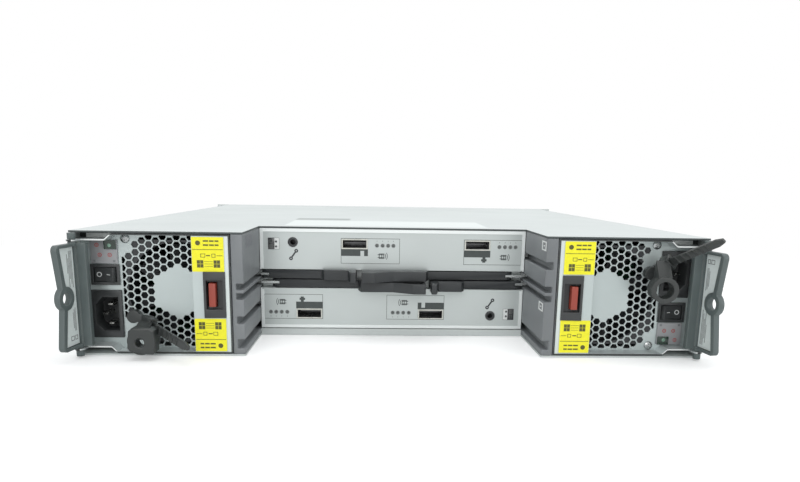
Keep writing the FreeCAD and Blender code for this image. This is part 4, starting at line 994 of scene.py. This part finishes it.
def displayTile(shape):
    outline = rectangle(tileLeft, tileRight, displayLow.z, displayHigh.z, displaySet["corner"])
    layFilm(shape, outline, moduleFront)


def displayDots(shape):
    middle = (displayLow.z + displayHigh.z) / 2
    tile = flatFront(moduleFaceY - filmLift)
    u = displayHigh.x + displaySet["dotAcross"]
    for up in displaySet["dots"]:
        layFilm(shape, disk(u, middle + up, displaySet["dot"], smallSides), tile, fineLift)
    line, lift = displaySet["edge"]
    layFrame(shape, tileLeft, tileRight, displayLow.z, displayHigh.z, line, tile, lift)


# two unlit figure cells on the dark window
def displayCells(shape):
    window = flatFront(displayLow.y)
    line = displaySet["cellLine"]
    frameLift, barLift = displaySet["cellLifts"]
    for v in (displayLow.z + displaySet["cellIn"], displayHigh.z - displaySet["cellIn"]):
        edges = around((displayLow.x + displayHigh.x) / 2, v, *displaySet["cell"])
        layFrame(shape, *edges, line, window, frameLift)
        layFilm(shape, stroke((edges[0], v), (edges[1], v), line), window, barLift)


onModules("display_tile", displayTile, "whiteInk")
onModules("display_dots", displayDots, "darkInk")
onModules("display_cells", displayCells, "smokedLens")
print("stage 5: module faces dressed")


# bay walls: two small white outlines on the right wall, a faint square on the left one
wallSet = {"deep": (1.6, 13.2), "levels": ((77.2, 84.0), (33.3, 39.6)), "line": 1.0, "endLine": 2.2,
           "barIn": 4.4, "squareDeep": (10.0, 34.0), "squareLevel": (76.0, 84.6), "squareCorner": 1.0}
wallLow = boxOf("bay_wall_right")[0]


def recessSide(sign):
    return lambda u, v, lift: Vector((sign * (wallLow.x - lift), u, v))


def wallTags(shape):
    side = recessSide(1)
    near, far = (wallLow.y + deep for deep in wallSet["deep"])
    line, endLine, barIn = wallSet["line"], wallSet["endLine"], wallSet["barIn"]
    for low, high in wallSet["levels"]:
        inner = rectangle(near + endLine, far - endLine, low + line, high - line)
        layBand(shape, rectangle(near, far, low, high), inner, side)
        middle = (low + high) / 2
        layFilm(shape, stroke((near + barIn, middle), (far - barIn, middle), line), side)


def wallSquare(shape):
    near, far = (wallLow.y + deep for deep in wallSet["squareDeep"])
    outline = rectangle(near, far, *wallSet["squareLevel"], wallSet["squareCorner"])
    layFilm(shape, outline, recessSide(-1), inkLift)


for part, lay, ink in (("right_tags", wallTags, "whiteInk"), ("left_square", wallSquare, "wallShade")):
    addPiece("bay_wall_" + part, meshFrom(lay), ink, "chassis")


# chassis sides: low domed rivets that hold the bay walls and the midplane
rivetSet = {"rows": ((12.0, (-225, -150, -60, 60, 150, 205)), (74.0, (-225, -60, 60, 205))),
            "profile": ((2.6, 0.0), (2.4, 0.25), (1.7, 0.5), (0.7, 0.6))}
panHigh = boxOf("chassis_pan")[1]


def sideRivets(sign):
    shape = bmesh.new()

    def side(u, v, lift):
        return Vector((sign * (panHigh.x + lift), u, v))
    for level, places in rivetSet["rows"]:
        for y in places:
            levels = stackDisks(shape, y, level, rivetSet["profile"], side, smallSides)
            joinRings(shape, levels)
            shape.faces.new(levels[-1])
    return toMesh("sideRivets", shape, True)


for side, sign in (("left", -1), ("right", 1)):
    addPiece("chassis_rivets_" + side, sideRivets(sign), "platedSteel", "chassis")
print("stage 6: chassis dressed")


# camera on the service side, a little above the shelf, wide lens
cameraSet = {"place": (-15.25, -675.5, 123.8), "yaw": 2.44, "pitch": 10.76, "roll": 0.951,
             "lens": 28.0, "shift": 0.074, "near": 0.02}


def makeCamera():
    yaw, pitch, roll = (math.radians(cameraSet[k]) for k in ("yaw", "pitch", "roll"))
    forward = Vector((math.sin(yaw) * math.cos(pitch), math.cos(yaw) * math.cos(pitch), -math.sin(pitch)))
    level = Vector((math.cos(yaw), -math.sin(yaw), 0))
    up = level.cross(forward)
    right = level * math.cos(roll) + up * math.sin(roll)
    up = right.cross(forward)
    data = bpy.data.cameras.new("camera")
    data.lens = cameraSet["lens"]
    data.shift_y = cameraSet["shift"]
    data.clip_start = cameraSet["near"]
    camera = addObject("camera", data)
    turn = Matrix((right, up, -forward)).transposed().to_4x4()
    camera.matrix_world = Matrix.Translation(Vector(cameraSet["place"]) * mm) @ turn
    scene.camera = camera


# what the camera sees by itself, and what it or a reflection sees
def seenBy(tree):
    path = tree.nodes.new("ShaderNodeLightPath")
    camera = path.outputs["Is Camera Ray"]
    return camera, combine(tree, "MAXIMUM", camera, path.outputs["Is Glossy Ray"])


def mixShaders(tree, factor, first, second, out):
    mix = tree.nodes.new("ShaderNodeMixShader")
    for socket, value in zip(mix.inputs, (factor, first, second)):
        tree.links.new(value, socket)
    tree.links.new(mix.outputs[0], out.inputs["Surface"])


# floor: pale near the shelf, where it takes the shadow, and plain white further off
floorSet = {"size": 12.0, "level": -0.2, "colour": (0.88, 0.885, 0.885), "shade": (0.86, 0.865, 0.865),
            "noise": 3, "rough": 0.7, "lift": 0.26, "white": (0.42, 0.85)}


def makeFloor():
    mesh = bpy.data.meshes.new("floor")
    half = floorSet["size"] / 2
    corners = [(-half, -half, 0), (half, -half, 0), (half, half, 0), (-half, half, 0)]
    mesh.from_pydata(corners, [], [(0, 1, 2, 3)])
    floor = addObject("floor", mesh)
    floor.location.z = floorSet["level"] * mm
    tree, shader, coords = newMaterial("paleFloor")
    mottle = noiseField(tree, coords, floorSet["noise"])
    body = colourMix(tree, mottle, floorSet["colour"], floorSet["shade"])
    tree.links.new(body, shader.inputs["Base Color"])
    shader.inputs["Roughness"].default_value = floorSet["rough"]
    camera, seen = seenBy(tree)
    shader.inputs["Emission Color"].default_value = (1, 1, 1, 1)
    lift = combine(tree, "MULTIPLY", camera, floorSet["lift"])
    tree.links.new(lift, shader.inputs["Emission Strength"])
    away = tree.nodes.new("ShaderNodeVectorMath")
    away.operation = "LENGTH"
    tree.links.new(coords, away.inputs[0])
    far = spread(tree, away.outputs["Value"], 0.0, 1.0, *floorSet["white"])
    white = tree.nodes.new("ShaderNodeEmission")
    out = [node for node in tree.nodes if node.type == "OUTPUT_MATERIAL"][0]
    factor = combine(tree, "MULTIPLY", far, seen)
    mixShaders(tree, factor, shader.outputs["BSDF"], white.outputs["Emission"], out)
    mesh.materials.append(bpy.data.materials["paleFloor"])


# soft light: a bluish sky, and three lamps with place, target, size and power
lightSet = {"sky": (0.97, 0.99, 1.0, 1), "skyPower": 0.62,
            "lamps": (("topLight", (0.1, -0.1, 1.7), (0, 0, 0.05), (1.6, 1.4), 13.0),
                      ("frontLight", (-0.5, -1.9, 0.9), (0, -0.2, 0.05), (1.4, 1.0), 10.0),
                      ("sideLight", (1.6, -1.0, 0.7), (0, -0.2, 0.05), (1.0, 1.0), 5.0))}


def addLamp(name, place, target, size, power):
    data = bpy.data.lights.new(name, "AREA")
    data.shape = "RECTANGLE"
    data.size, data.size_y = size
    data.energy = power
    lamp = addObject(name, data)
    lamp.location = place
    aim = Vector(target) - Vector(place)
    lamp.rotation_euler = aim.to_track_quat("-Z", "Y").to_euler()


def makeLight():
    world = bpy.data.worlds.new("studio")
    world.use_nodes = True
    tree = world.node_tree
    tree.nodes.clear()
    out = tree.nodes.new("ShaderNodeOutputWorld")
    sky = tree.nodes.new("ShaderNodeBackground")
    white = tree.nodes.new("ShaderNodeBackground")
    sky.inputs["Color"].default_value = lightSet["sky"]
    sky.inputs["Strength"].default_value = lightSet["skyPower"]
    white.inputs["Color"].default_value = (1, 1, 1, 1)
    mixShaders(tree, seenBy(tree)[1], sky.outputs[0], white.outputs[0], out)
    scene.world = world
    for lamp in lightSet["lamps"]:
        addLamp(*lamp)


makeCamera()
makeFloor()
makeLight()
scene.view_settings.view_transform = "Standard"
print("stage 7: camera, floor and light")
